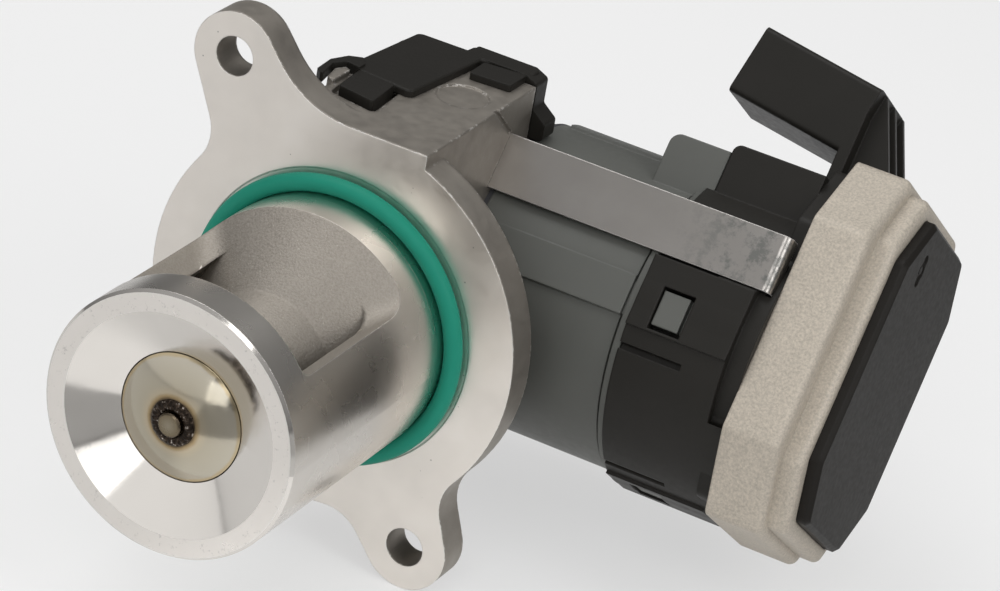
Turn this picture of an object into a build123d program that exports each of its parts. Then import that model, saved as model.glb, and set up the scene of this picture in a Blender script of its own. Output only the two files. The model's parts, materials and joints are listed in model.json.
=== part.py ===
from build123d import *
import os
from math import cos, sin, tan, pi, radians, sqrt, atan2, hypot

os.makedirs("parts", exist_ok=True)

# Frame, in millimetres
# The origin is the centre of the flange's sealing face, on the valve axis.
# The barrel points to -Y, the actuator's axis runs along +X, and +Z is up.

# Flange, bolted to the engine
flange_r = 34.7
flange_t = 6.5
bolt_hole_r = 3.5
ear_r = 7.8
ear_root_r = 10.4
ear_root_at = 26.7
upper_bolt = (-24.9, 39.5)
lower_bolt = (20.9, -36.3)
ear_fillet = 8.0
ear_to_block_fillet = 19.0

# Barrel, the spigot that reaches into the gas duct
barrel_r = 23.0
barrel_len = 51.7
barrel_break = 0.5
mouth_r = 19.3
mouth_depth = 4.1
rim_room = 0.2
seat_pocket_len = 1.2
throat_r = 9.6
throat_len = 1.3
chamber_r = 18.4
chamber_flare = 2.0
collar_len = 7.5
window_angle = 110.0
window_rear_r = 4.5
window_front_r = 1.6
guide_root_r = 12.4
guide_root_at = 21.8
guide_tip_r = 9.0
guide_tip_at = 37.4
guide_round = 1.6
groove_r = 22.8
groove_len = 4.7
ring_section_r = 1.6
ring_seat_depth = 0.2
ring_seat_room = 0.4

# Casting behind the flange
block_x = (-14.5, 12.8)
block_bottom = -24.0
block_back = 38.8
block_edge_r = 2.5
drum_x0 = -13.0
drum_step = 0.6
spring_bore_r = 11.3
spring_bore_y = 12.4
room_wall = 0.5
port_x = (-10.6, -1.6)
port_y = (20.5, 36.5)
stamp_r = 4.6
stamp_at = (5.6, 25.6)
stamp_depth = 0.25
score_from = (24.4, 34.7)
score_to = (31.6, 28.4)
score_w = 0.7
score_depth = 0.4
hook_boss = [(-13.6, 12.6), (-14.3, 16.4), (-13.4, 18.3), (-12.2, 17.8), (-12.2, 12.2)]
hook_boss_h = 1.1

# Actuator axis and the tilt of its housing about it
tilt = 36.4
axis_y = 43.7
axis_z = -1.9

# Valve: disc, stem, yoke and spring
fit_gap = 0.05
run_gap = 0.04
disc_r = 11.0
disc_skirt_r = 6.2
disc_skirt_len = 1.2
disc_neck_t = 1.0
disc_neck_at = 1.6
disc_neck_len = 1.0
disc_dome = 2.9
seat_gap = 0.15
stem_r = 3.0
stem_neck_r = 2.1
stem_short = 0.2
weld_r = 4.2
weld_h = 0.55
bush_r = 5.5
bush_front = 0.9
seal_len = 3.2
seal_r = 7.0
spring_wire_r = 1.0
spring_r = 8.2
spring_turns = 5.0
retainer_r = 10.4
retainer_t = 2.2
retainer_lip = 1.2

# Crank and roller
crank_throw = 5.0
crank_swing = 90.0
roller_r = 5.0
roller_len = 7.0
crank_pin_r = 2.5
pin_head_r = 3.3
pin_head_t = 1.0
yoke_t = 7.0
yoke_wall = 3.0
yoke_gap = 0.3
yoke_end_gap = 0.4
yoke_boss_r = 4.1
yoke_boss_len = 4.7
web_x0 = 4.4
web_t = 2.8
web_r = 8.4
web_gap = 0.3
journal_r = 4.0
crank_bush_r = 9.0

# Gear train, two stages back onto the motor's own axis
module = 0.65
pinion_teeth = 12
wheel_teeth = 30
pressure_angle = 20.0
tooth_play = 0.1
web_hole_r = 1.4
web_hole_at = 6.63
web_holes = 5
addendum = 0.85
dedendum = 1.2
output_face = 5.0
input_face = 4.6
gear_side_gap = 0.6
gear_step_gap = 1.2
idler_pin_r = 2.0

# Motor
front_plate_t = 2.6
hub_r = 8.4
hub_len = 4.0
bearing_r = 6.5
bearing_w = 3.2
sleeve_t = 1.1
can_wall = 1.8
can_end = 58.0
stack_x = (34.0, 53.0)
yoke_ring_t = 2.0
stator_teeth = 6
tooth_w = 4.6
shoe_w = 9.0
shoe_t = 1.4
coil_wall = 2.6
coil_over = 2.0
rotor_r = 11.6
air_gap = 0.5
shaft_r = 2.0
magnet_r = 5.0
magnet_t = 2.3

# Grey motor housing
gasket_t = 0.8
gasket_w = 7.0
housing_r = 26.6
housing_end = 45.4
housing_floor = 2.0
gear_wall = 2.0
motor_wall = 1.6
lip_proud = 0.6
lip_len = 1.3
lip_groove = 0.5
rib_q = (-4.8, 2.3)
rib_proud = 0.4
rib_x0 = 16.5
pad_p = (-9.4, 12.0)
pad_proud = 0.7
pad_x0 = 15.3
snap_x = (35.9, 46.9)
snap_p = (-17.6, 14.0)
snap_proud = 2.6
snap_round = 2.0
tongue_q = (-4.6, 1.5)
tongue_t = 1.25
tongue_lift = 0.1
tongue_end = 57.0
nub_x = (49.6, 54.4)
nub_h = 1.4
under_tongue_p = (-3.1, 3.1)

# Black connector carrier
carrier_proud = 1.0
carrier_neck_step = 1.7
carrier_x0 = 45.5
ring_x1 = 64.1
bulkhead_t = 3.2
sleeve_reach = 5.4
finger_q = (-9.0, 6.7)
finger_pad_q = (-6.0, 6.7)
under_finger_p = (-8.6, 8.6)
under_pad_p = (-6.0, 6.0)
under_window_p = (-3.8, 3.8)
finger_sunk = 0.1
slit_w = 1.1
slit_end = 57.0
window_x = (49.3, 55.2)
window_q = (-5.5, 2.1)
low_block_x = (47.1, 64.1)
low_block_p = (-17.9, 0.5)
low_block_h = 2.7
high_block_h = 5.8
block_round = 1.5
ring_run_q = -16.0

# Connector on top of the carrier
plug_tilt = 9.0
plug_p = (0.5, 18.9)
plug_x = 60.2
plug_rise = 24.2
plug_len = 23.0
plug_h = 13.2
plug_wall = 1.6
plug_floor = 3.0
plug_round = 1.0
neck_x = (58.2, 60.4)
neck_root = 8.2
neck_top = 2.0
gusset_t = 1.3
gusset_p = (4.6, 11.1, 18.25)
gusset_foot = 68.4
gusset_crest = 61.5
gusset_sunk = 6.0
gusset_clear = 0.6
gusset_lap = 0.5
gusset_top = 0.4
pin_count = 5
pin_size = (0.8, 0.6)
pin_pitch = 3.0
pin_len = 12.0
pin_root = 2.0

# End cover, board and end plate
cover_x = 67.2
cover_p = (-24.7, 22.6)
cover_q = (-29.1, 35.9)
cover_cut = (10.0, 13.3)
cover_len = 10.3
step_p = (-19.9, 20.1)
step_q = (-27.2, 34.0)
step_cut = (7.2, 10.4)
step_len = 3.5
cover_round = 1.6
step_round = 1.3
corner_r = 2.2
cover_wall = 2.4
cover_roof = 2.2
plate_p = (-17.6, 19.8)
plate_q = (-24.3, 31.2)
plate_cut = (7.0, 9.6)
plate_proud = 2.3
plate_sunk = 0.8
plate_bevel = 0.8
gate_at = (-9.1, 23.0)
gate_r = 1.45
gate_len = 5.8
gate_w = 2.2
gate_depth = 0.3
spigot_reach = 1.8
board_t = 1.6
board_p = (-16.0, 18.5)
board_q = (-14.6, 21.8)
board_gap = 0.5
chip_size = (5.0, 6.0, 1.2)
board_part = (4.5, 3.0, 1.3)
board_part_pitch = (9.0, 8.0)
board_corner_r = 1.5
screw_p = (-9.5, 11.5)
screw_q = (-18.5, 25.5)
screw_boss_r = 3.5
screw_r = 1.5
screw_reach = 10.5
screw_head_r = 2.9
screw_head_t = 1.6
drive_r = 1.3
drive_depth = 1.0

# Clamp strap
strap_stand = 0.8
strap_t = 1.0
strap_q = (7.3, 17.3)
strap_root = 2.0
strap_tab = 3.6
strap_bend_r = 1.4
strap_short = 1.0

# Black cap on top of the casting
cap_t = 1.4
cap_pad_t = 1.3
cap_lobe_t = 1.8
cap_break = 0.3
cap_round = 1.4
cap_arm_round = 1.0
cap_left_pad = [(-10.3, 10.7), (-10.9, 19.0), (-3.7, 18.4), (-3.0, 9.3)]
cap_right_pad = [(2.9, 32.5), (2.8, 38.2), (10.6, 39.2), (10.6, 33.1)]
pad_recess = 1.2
pad_recess_room = 1.1
tail_y = (39.1, 43.3)
tail_foot = 0.9
tail_reach = (0.0, 2.7)
tail_knees = (0.34, 0.557)
tail_crown = 0.3
tail_round = 0.8

# Places worked out from the values above
lip_r = housing_r + lip_proud
gear_bore_r = housing_r - gear_wall
motor_bore_r = housing_r - motor_wall
sleeve_r = motor_bore_r - fit_gap
can_r = sleeve_r - sleeve_t - fit_gap
drum_r = housing_r - drum_step
tongue_p = (-sleeve_r - tongue_lift - tongue_t, -sleeve_r - tongue_lift)
carrier_r = lip_r + carrier_proud
strap_face = housing_r + strap_stand
low_block_q = carrier_r + low_block_h
high_block_q = carrier_r + high_block_h
plug_top = carrier_r + plug_rise
mouth_y = -barrel_len
rim_y = mouth_y + mouth_depth
seat_pocket_r = disc_r + rim_room
pocket_back = rim_y + seat_pocket_len
seat_back = pocket_back + seat_pocket_r - throat_r
throat_back = seat_back + throat_len
collar_back = mouth_y + collar_len
block_top = flange_r
pin_y = crank_throw * cos(radians(crank_swing / 2))
lift = 2 * pin_y
yoke_centre = axis_y + pin_y
yoke_half = roller_r + yoke_gap
yoke_front = yoke_centre - yoke_half - yoke_wall
yoke_back = yoke_centre + yoke_half + yoke_wall
slot_low = axis_z + pin_y - roller_r - yoke_end_gap
slot_high = axis_z + crank_throw + roller_r + yoke_end_gap
stem_y = (mouth_y + stem_short, yoke_front)
boss_y = yoke_front - yoke_boss_len
retainer_y = boss_y - retainer_t
bush_y = (-guide_tip_at + bush_front, spring_bore_y - seal_len)
housing_x0 = block_x[1] + gasket_t
floor_x = housing_x0 + housing_floor
web_x1 = web_x0 + web_t
bush_x = (web_x1 + web_gap, floor_x - 0.2)
output_x = (floor_x + gear_side_gap, floor_x + gear_side_gap + output_face)
input_x = (output_x[1] + gear_step_gap, output_x[1] + gear_step_gap + input_face)
front_plate_x = input_x[1] + 1.0
can_x0 = front_plate_x + front_plate_t
bulkhead_x = ring_x1 - bulkhead_t
gear_distance = module * (pinion_teeth + wheel_teeth) / 2
board_x = cover_x + 2.3
roof_x = cover_x + cover_len + step_len - plate_sunk
strap_end = cover_x - strap_short
tail_z = axis_z + drum_r + tail_foot
tail_run = block_top - tail_z
plate_x = roof_x


# Working planes and outlines
def at_y(y):
    """Plane across the valve axis; its local axes are X and Z, and it faces the barrel's side."""
    return Plane.XZ.offset(-y)


def across(x):
    """Plane across the actuator axis: local x points to the back, local y up the tilted unit."""
    back = (0, cos(radians(tilt)), -sin(radians(tilt)))
    return Plane(origin=(x, axis_y, axis_z), x_dir=back, z_dir=(1, 0, 0))


def rising(q):
    """Plane along the actuator axis at height q: local x is X, local y points to the back."""
    up = Vector(0, sin(radians(tilt)), cos(radians(tilt)))
    origin = Vector(0, axis_y, axis_z) + up * q
    return Plane(origin=origin, x_dir=(1, 0, 0), z_dir=up)


def facing(p):
    """Plane along the actuator axis at depth p: local axes are X and up, and it faces the front."""
    back = Vector(0, cos(radians(tilt)), -sin(radians(tilt)))
    origin = Vector(0, axis_y, axis_z) + back * p
    return Plane(origin=origin, x_dir=(1, 0, 0), z_dir=back * -1)


crank_plane = Plane(origin=(0, axis_y, axis_z), x_dir=(0, 1, 0), z_dir=(1, 0, 0))
motor_axis = Axis((0, axis_y, axis_z), (1, 0, 0))
turning_plane = facing(0)


def slab(plane, a, b, height, mode=Mode.ADD, round_r=0):
    """Rectangle a = (low, high) by b = (low, high) on a plane, extruded by height."""
    with BuildSketch(plane) as outline:
        with Locations(((a[0] + a[1]) / 2, (b[0] + b[1]) / 2)):
            if round_r:
                RectangleRounded(a[1] - a[0], b[1] - b[0], round_r)
            else:
                Rectangle(a[1] - a[0], b[1] - b[0])
    extrude(outline.sketch, amount=height, mode=mode)


def raised_block(x, p, top, round_r):
    """Block from the actuator's axis up to a height, with its upper left edge rounded."""
    with BuildSketch(facing(p[0])) as side:
        with BuildLine() as edge:
            Polyline((x[0], 0), (x[1], 0), (x[1], top), (x[0], top), close=True)
        make_face(edge.edges())
        fillet(side.vertices().sort_by_distance((x[0], top))[0], radius=round_r)
    extrude(side.sketch, amount=p[0] - p[1])


def round_land(plane, radius, a, b, height):
    """Part of a round bar inside the limits a across it and b up it."""
    with BuildSketch(plane) as land:
        Circle(radius)
        with Locations(((a[0] + a[1]) / 2, (b[0] + b[1]) / 2)):
            Rectangle(a[1] - a[0], b[1] - b[0], mode=Mode.INTERSECT)
    extrude(land.sketch, amount=height)


def round_bar(plane, radius, height, at=(0, 0), mode=Mode.ADD):
    """Round bar or round hole of one radius, standing on a plane."""
    with BuildSketch(plane) as outline:
        with Locations(at):
            Circle(radius)
    extrude(outline.sketch, amount=height, mode=mode)


def shape(plane, points, height, mode=Mode.ADD, round_r=0):
    """Straight-sided outline on a plane, extruded by height, with rounded corners where asked."""
    with BuildSketch(plane) as outline:
        with BuildLine() as edge:
            Polyline(*points, close=True)
        make_face(edge.edges())
        if round_r:
            fillet(outline.vertices(), radius=round_r)
    extrude(outline.sketch, amount=height, mode=mode)


def turned(plane, axis, points, mode=Mode.ADD, arc=360):
    """Solid of revolution from a straight-sided profile."""
    with BuildSketch(plane) as profile:
        with BuildLine() as edge:
            Polyline(*points, close=True)
        make_face(edge.edges())
    revolve(profile.sketch, axis=axis, revolution_arc=arc, mode=mode)


def cut_corner_points(p, q, cut, inset=0.0):
    """Corners of a rectangle with cut corners, with every side moved in by inset."""
    run, rise = cut
    slope = atan2(rise, run)
    along_run = inset * tan(slope / 2)
    along_rise = inset * tan((pi / 2 - slope) / 2)
    p0, p1 = p[0] + inset, p[1] - inset
    q0, q1 = q[0] + inset, q[1] - inset
    dp = run - inset + along_run
    dq = rise - inset + along_rise
    return [(p0 + dp, q0), (p1 - dp, q0), (p1, q0 + dq), (p1, q1 - dq),
            (p1 - dp, q1), (p0 + dp, q1), (p0, q1 - dq), (p0, q0 + dq)]


def finish(piece, name):
    piece.part.label = name
    export_step(piece.part, "parts/" + name + ".step")


# Valve body
def ear_points(bolt):
    """Corners of a tapered ear whose flanks are tangent to its end and to its root circle."""
    reach = hypot(*bolt)
    out = (bolt[0] / reach, bolt[1] / reach)
    side = (-out[1], out[0])
    lean = (ear_root_r - ear_r) / (reach - ear_root_at)
    stay = sqrt(1 - lean ** 2)
    corners = []
    for sign, at, radius in ((1, ear_root_at, ear_root_r), (1, reach, ear_r),
                             (-1, reach, ear_r), (-1, ear_root_at, ear_root_r)):
        corners.append((at * out[0] + radius * (sign * stay * side[0] + lean * out[0]),
                        at * out[1] + radius * (sign * stay * side[1] + lean * out[1])))
    return corners


def radial_plane(angle):
    """Plane through the valve axis: local x points out at this angle from +X to +Z, local y is +Y."""
    a = radians(angle)
    return Plane(origin=(0, 0, 0), x_dir=(cos(a), 0, sin(a)), z_dir=(-sin(a), 0, cos(a)))


ring_seat_r = groove_r + 2 * ring_section_r + ring_seat_room
ramp_slope = 1.045
outside = barrel_r + 3
inside = guide_root_r + 1


def ramp_y(radius):
    """Place of the cast ramp, which climbs from the guide's root out to the barrel's skin."""
    return -guide_root_at + (radius - guide_root_r) * ramp_slope


with BuildPart() as window_cutter:
    turned(radial_plane(90 + window_angle / 2), Axis.Y,
           [(inside, collar_back), (outside, collar_back), (outside, ramp_y(outside)),
            (inside, ramp_y(inside))], arc=window_angle)
    corner_edges = window_cutter.edges().filter_by(GeomType.LINE)
    by_place = corner_edges.sort_by(Axis.Y)
    fillet(by_place[-2:], radius=window_rear_r)
    corner_edges = window_cutter.edges().filter_by(GeomType.LINE)
    fillet(corner_edges.sort_by(Axis.Y)[:2], radius=window_front_r)


def flange_outline():
    """Round flange with its two ears and the flat where the block's top meets it."""
    with BuildSketch(at_y(0)) as outline:
        Circle(flange_r)
        for bolt in (upper_bolt, lower_bolt):
            with BuildLine() as edge:
                Polyline(*ear_points(bolt), close=True)
            make_face(edge.edges())
            with Locations(bolt):
                Circle(ear_r)
        with Locations(((block_x[0] * 0.75 + block_x[1]) / 2, block_top / 2)):
            Rectangle(block_x[1] - block_x[0] * 0.75, block_top)
        joins = [v for v in outline.vertices()
                 if abs(hypot(v.X, v.Y) - flange_r) < 0.05 and (v.X < -1 or v.Y < -1)]
        fillet(joins, radius=ear_fillet)
        on_top = [v for v in outline.vertices() if abs(v.Y - block_top) < 0.01 and v.X < -1]
        fillet(on_top, radius=ear_to_block_fillet)
        with Locations(upper_bolt, lower_bolt):
            Circle(bolt_hole_r, mode=Mode.SUBTRACT)
    return outline.sketch


def strap_slot(mode):
    """Slot in the block's face that holds the strap's root."""
    slab(across(block_x[1] - strap_root), (-strap_face - fit_gap, -strap_face + strap_t + fit_gap),
         (strap_q[0] - fit_gap, strap_q[1] + fit_gap), strap_root, mode=mode)


with BuildPart() as valve_body:
    extrude(flange_outline(), amount=-flange_t)
    slab(at_y(flange_t), block_x, (block_bottom, block_top), -(block_back - flange_t))
    side_edges = valve_body.edges().filter_by(Axis.Y).filter_by_position(Axis.X, block_x[0] - 0.1, block_x[0] + 0.1)
    fillet(side_edges.filter_by_position(Axis.Y, flange_t, block_back), radius=block_edge_r)
    round_bar(across(drum_x0), drum_r, block_x[1] - drum_x0)
    turned(Plane.XY, Axis.Y,
           [(0, mouth_y), (barrel_r - barrel_break, mouth_y), (barrel_r, mouth_y + barrel_break),
            (barrel_r, -groove_len), (groove_r, -groove_len), (groove_r, 1), (0, 1)])
    turned(Plane.XY, Axis.Y,
           [(0, mouth_y), (mouth_r, mouth_y), (seat_pocket_r, rim_y), (seat_pocket_r, pocket_back),
            (throat_r, seat_back), (throat_r, throat_back), (chamber_r, throat_back + chamber_flare),
            (chamber_r, ramp_y(chamber_r)), (guide_root_r, ramp_y(guide_root_r)),
            (guide_tip_r, -guide_tip_at + guide_round), (guide_tip_r - guide_round, -guide_tip_at),
            (0, -guide_tip_at)], mode=Mode.SUBTRACT)
    add(window_cutter.part, mode=Mode.SUBTRACT)
    # Shallow seat of the ring, turned in the flange's face round the spigot
    turned(Plane.XY, Axis.Y,
           [(groove_r, 0), (ring_seat_r, 0), (ring_seat_r, ring_seat_depth), (groove_r, ring_seat_depth)],
           mode=Mode.SUBTRACT)
    # Guide bore, seal pocket and spring bore
    round_bar(at_y(bush_y[0] - 2), bush_r, -(bush_y[1] - bush_y[0] + 2), mode=Mode.SUBTRACT)
    round_bar(at_y(bush_y[1]), seal_r, -seal_len, mode=Mode.SUBTRACT)
    round_bar(at_y(spring_bore_y), spring_bore_r, -(block_back - 3 - spring_bore_y), mode=Mode.SUBTRACT)
    # Room for the yoke, open at the top through the port that the cap closes
    slab(at_y(retainer_y - lift), (-yoke_t - 1, bush_x[0]),
         (axis_z - web_r - room_wall, slot_high + yoke_wall + room_wall),
         -(yoke_back + room_wall - retainer_y + lift), mode=Mode.SUBTRACT)
    slab(Plane.XY.offset(axis_z), port_x, port_y, block_top - axis_z, mode=Mode.SUBTRACT, round_r=2)
    round_bar(crank_plane.offset(bush_x[0] - 1), crank_bush_r, block_x[1] - bush_x[0] + 1,
              mode=Mode.SUBTRACT)
    # Ejector mark, score line and strap slot
    round_bar(Plane.XY.offset(block_top - stamp_depth), stamp_r, stamp_depth, stamp_at, Mode.SUBTRACT)
    strap_slot(Mode.SUBTRACT)
    with BuildSketch(Plane.XY.offset(block_top - pad_recess)) as pad_pocket:
        with BuildLine() as pad_edge:
            Polyline(*cap_left_pad, close=True)
        make_face(pad_edge.edges())
        offset(amount=pad_recess_room)
    extrude(pad_pocket.sketch, amount=pad_recess, mode=Mode.SUBTRACT)
    shape(Plane.XY.offset(block_top - block_edge_r), hook_boss, block_edge_r + hook_boss_h)
    score_turn = Plane(origin=(block_x[1] - score_depth, score_from[0], score_from[1]),
                       x_dir=(0, score_to[0] - score_from[0], score_to[1] - score_from[1]), z_dir=(1, 0, 0))
    score_len = hypot(score_to[0] - score_from[0], score_to[1] - score_from[1])
    slab(score_turn, (-1, score_len), (-score_w / 2, score_w / 2), score_depth, mode=Mode.SUBTRACT)
finish(valve_body, "valve_body")


# Valve disc, with its dome to the outside and its seat face behind the rim
neck_y = throat_back + disc_neck_at + disc_neck_len
disc_neck_r = stem_r + disc_neck_t


def dome_y(radius):
    """Front of the disc's dome at a radius."""
    return rim_y - disc_dome * (1 - (radius / disc_r) ** 2)


with BuildPart() as valve_disc:
    with BuildSketch(Plane.XY) as profile:
        with BuildLine() as edge:
            front = ThreePointArc((stem_neck_r, dome_y(stem_neck_r)), (disc_r * 0.6, dome_y(disc_r * 0.6)),
                                  (disc_r, rim_y))
            seat_shift = seat_gap * sqrt(2)
            rim_back = pocket_back - seat_shift + rim_room
            cone_r = throat_r + seat_gap
            Polyline((disc_r, rim_y), (disc_r, rim_back), (cone_r, rim_back + disc_r - cone_r),
                     (disc_skirt_r, seat_back + disc_skirt_len), (disc_neck_r, throat_back + disc_neck_at),
                     (disc_neck_r, neck_y), (stem_neck_r, neck_y),
                     (stem_neck_r, dome_y(stem_neck_r)))
        make_face(edge.edges())
    revolve(profile.sketch, axis=Axis.Y)
finish(valve_disc, "valve_disc")

with BuildPart() as valve_stem:
    turned(Plane.XY, Axis.Y,
           [(0, stem_y[0]), (stem_neck_r - 0.3, stem_y[0]), (stem_neck_r, stem_y[0] + 0.3),
            (stem_neck_r, neck_y), (stem_r, neck_y), (stem_r, stem_y[1]), (0, stem_y[1])])
finish(valve_stem, "valve_stem")

# Weld between the disc and the stem's end
with BuildPart() as stem_weld:
    with BuildSketch(Plane.XY) as profile:
        with BuildLine() as edge:
            inner = (stem_neck_r, dome_y(stem_neck_r))
            outer = (weld_r, dome_y(weld_r))
            middle_r = (stem_neck_r + weld_r) / 2
            ThreePointArc(inner, (middle_r, inner[1] - weld_h), outer)
            ThreePointArc(outer, (middle_r, dome_y(middle_r)), inner)
        make_face(edge.edges())
    revolve(profile.sketch, axis=Axis.Y)
finish(stem_weld, "stem_weld")

with BuildPart() as stem_bush:
    round_bar(at_y(bush_y[0]), bush_r, -(bush_y[1] - bush_y[0]))
    round_bar(at_y(bush_y[0]), stem_r + run_gap, -(bush_y[1] - bush_y[0]), mode=Mode.SUBTRACT)
    chamfer(stem_bush.edges().filter_by(GeomType.CIRCLE).sort_by(Axis.Y)[:2], length=0.4)
finish(stem_bush, "stem_bush")

with BuildPart() as stem_seal:
    turned(Plane.XY, Axis.Y,
           [(stem_r + run_gap, bush_y[1]), (seal_r, bush_y[1]), (seal_r, spring_bore_y),
            (seal_r - 1.2, spring_bore_y), (seal_r - 1.2, bush_y[1] + 1.2),
            (stem_r + 1.2, bush_y[1] + 1.2), (stem_r + run_gap, spring_bore_y - 0.6)])
finish(stem_seal, "stem_seal")

# Return spring, squeezed when the valve opens
spring_start = spring_bore_y
spring_len = retainer_y - spring_start

with BuildPart() as return_spring:
    with BuildLine() as coil_line:
        Helix(pitch=(spring_len - 2 * spring_wire_r) / spring_turns, height=spring_len - 2 * spring_wire_r,
              radius=spring_r, center=(0, spring_start + spring_wire_r, 0), direction=(0, 1, 0))
    with BuildSketch(Plane(origin=coil_line.line @ 0, z_dir=coil_line.line % 0)) as wire:
        Circle(spring_wire_r - fit_gap)
    sweep(wire.sketch, path=coil_line.line, is_frenet=True)
finish(return_spring, "return_spring")

with BuildPart() as spring_retainer:
    round_bar(at_y(retainer_y), retainer_r, -retainer_t)
    round_bar(at_y(retainer_y - retainer_lip), spring_r - spring_wire_r - 0.4, -retainer_lip)
    round_bar(at_y(retainer_y - retainer_lip), stem_r, -(retainer_t + retainer_lip), mode=Mode.SUBTRACT)
finish(spring_retainer, "spring_retainer")

# Yoke, whose cross slot turns the crank's swing into the valve's stroke
with BuildPart() as yoke:
    slab(at_y(yoke_front), (-yoke_t / 2, yoke_t / 2), (slot_low - yoke_wall, slot_high + yoke_wall),
         -(yoke_back - yoke_front))
    fillet(yoke.edges().filter_by(Axis.X), radius=2.4)
    with BuildSketch(Plane.YZ.offset(-yoke_t / 2)) as slot:
        with Locations((yoke_centre, (slot_low + slot_high) / 2)):
            SlotOverall(slot_high - slot_low, 2 * yoke_half, rotation=90)
    extrude(slot.sketch, amount=yoke_t, mode=Mode.SUBTRACT)
    round_bar(at_y(boss_y), yoke_boss_r, -yoke_boss_len - 0.5)
    with BuildSketch(Plane.YZ.offset(-yoke_t / 2)) as slot_again:
        with Locations((yoke_centre, (slot_low + slot_high) / 2)):
            SlotOverall(slot_high - slot_low, 2 * yoke_half, rotation=90)
    extrude(slot_again.sketch, amount=yoke_t, mode=Mode.SUBTRACT)
    round_bar(at_y(boss_y), stem_r, -yoke_boss_len, mode=Mode.SUBTRACT)
finish(yoke, "yoke")

# Crank, its roller and the bush that carries it
crank_pin_at = (pin_y, pin_y)

with BuildPart() as crankshaft:
    round_bar(crank_plane.offset(web_x1), journal_r, output_x[1] + 0.3 - web_x1)
    round_bar(crank_plane.offset(web_x0), web_r, web_t)
    chamfer(crankshaft.edges().filter_by(GeomType.CIRCLE).sort_by(SortBy.RADIUS)[-2:], length=0.5)
    pin_x0 = -roller_len / 2 - 0.1 - pin_head_t
    round_bar(crank_plane.offset(pin_x0), pin_head_r, pin_head_t, crank_pin_at)
    round_bar(crank_plane.offset(pin_x0), crank_pin_r, web_x0 - pin_x0, crank_pin_at)
    round_bar(crank_plane.offset(roller_len / 2 + 0.3), pin_head_r, web_x0 - roller_len / 2 - 0.3, crank_pin_at)
finish(crankshaft, "crankshaft")

with BuildPart() as crank_roller:
    round_bar(crank_plane.offset(-roller_len / 2), roller_r, roller_len, crank_pin_at)
    round_bar(crank_plane.offset(-roller_len / 2), crank_pin_r + run_gap, roller_len, crank_pin_at, Mode.SUBTRACT)
finish(crank_roller, "crank_roller")

with BuildPart() as crank_bush:
    round_bar(crank_plane.offset(bush_x[0]), crank_bush_r, bush_x[1] - bush_x[0])
    round_bar(crank_plane.offset(bush_x[0]), journal_r + run_gap, bush_x[1] - bush_x[0], mode=Mode.SUBTRACT)
finish(crank_bush, "crank_bush")


# Gears, with involute flanks drawn through root, base, pitch and tip
def tooth_flank(teeth):
    """Points of a flank as (radius, half angle of the tooth there), from root to tip."""
    pitch = module * teeth / 2
    base = pitch * cos(radians(pressure_angle))
    half_pitch = pi / (2 * teeth) - tooth_play / 2 / pitch
    inv_pitch = tan(radians(pressure_angle)) - radians(pressure_angle)
    root = pitch - dedendum * module
    tip = pitch + addendum * module
    flank = []
    for radius in (max(root, base * 1.001), pitch, tip):
        roll = sqrt((radius / base) ** 2 - 1)
        flank.append((radius, half_pitch + inv_pitch - (roll - atan2(roll, 1))))
    if root < base:
        flank.insert(0, (root, flank[0][1] + 0.02))
    return flank


def gear(x, teeth, centre=(0, 0), phase=0.0):
    """Spur gear between x[0] and x[1], with a tooth pointing along phase in the housing's frame."""
    flank = tooth_flank(teeth)
    points = []
    for tooth in range(teeth):
        mid = phase + tooth * 2 * pi / teeth
        for radius, half in flank:
            points.append((centre[0] + radius * cos(mid - half), centre[1] + radius * sin(mid - half)))
        for radius, half in reversed(flank):
            points.append((centre[0] + radius * cos(mid + half), centre[1] + radius * sin(mid + half)))
    shape(across(x[0]), points, x[1] - x[0])


idler_at = (0.0, gear_distance)
space_phase = pi / 2 + pi / wheel_teeth
pinion_up = -pi / 2

with BuildPart() as output_gear:
    gear(output_x, wheel_teeth, phase=space_phase)
    round_bar(across(output_x[0]), journal_r, output_face, mode=Mode.SUBTRACT)
    with BuildSketch(across(output_x[0])) as holes:
        with PolarLocations(web_hole_at, web_holes, start_angle=18):
            Circle(web_hole_r)
    extrude(holes.sketch, amount=output_face, mode=Mode.SUBTRACT)
finish(output_gear, "output_gear")

with BuildPart() as idler_gear:
    gear(output_x, pinion_teeth, idler_at, pinion_up)
    round_bar(across(output_x[1]), module * pinion_teeth / 2 + 1.2, gear_step_gap, idler_at)
    gear(input_x, wheel_teeth, idler_at, pinion_up + pi / wheel_teeth)
    round_bar(across(output_x[0]), idler_pin_r + run_gap, input_x[1] - output_x[0], idler_at, Mode.SUBTRACT)
finish(idler_gear, "idler_gear")

with BuildPart() as idler_pin:
    round_bar(across(housing_x0 + 0.3), idler_pin_r, front_plate_x + 1.6 - housing_x0 - 0.3, idler_at)
    chamfer(idler_pin.edges().filter_by(GeomType.CIRCLE), length=0.3)
finish(idler_pin, "idler_pin")

with BuildPart() as motor_pinion:
    gear(input_x, pinion_teeth, phase=pi / 2)
    round_bar(across(input_x[0]), shaft_r, input_face, mode=Mode.SUBTRACT)
finish(motor_pinion, "motor_pinion")

# Motor: front plate, wound stator in its can, and rotor between two bearings
front_bearing_x = front_plate_x + hub_len - bearing_w
rear_bearing_x = bulkhead_x - 0.4
magnet_x = ring_x1 + 0.8

with BuildPart() as motor_front_plate:
    round_bar(across(front_plate_x), sleeve_r, front_plate_t)
    round_bar(across(front_plate_x), hub_r, hub_len)
    round_bar(across(front_plate_x), shaft_r + 1.0, hub_len, mode=Mode.SUBTRACT)
    round_bar(across(front_bearing_x), bearing_r, bearing_w, mode=Mode.SUBTRACT)
    round_bar(across(front_plate_x), idler_pin_r, 1.6, idler_at, Mode.SUBTRACT)
finish(motor_front_plate, "motor_front_plate")

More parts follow.
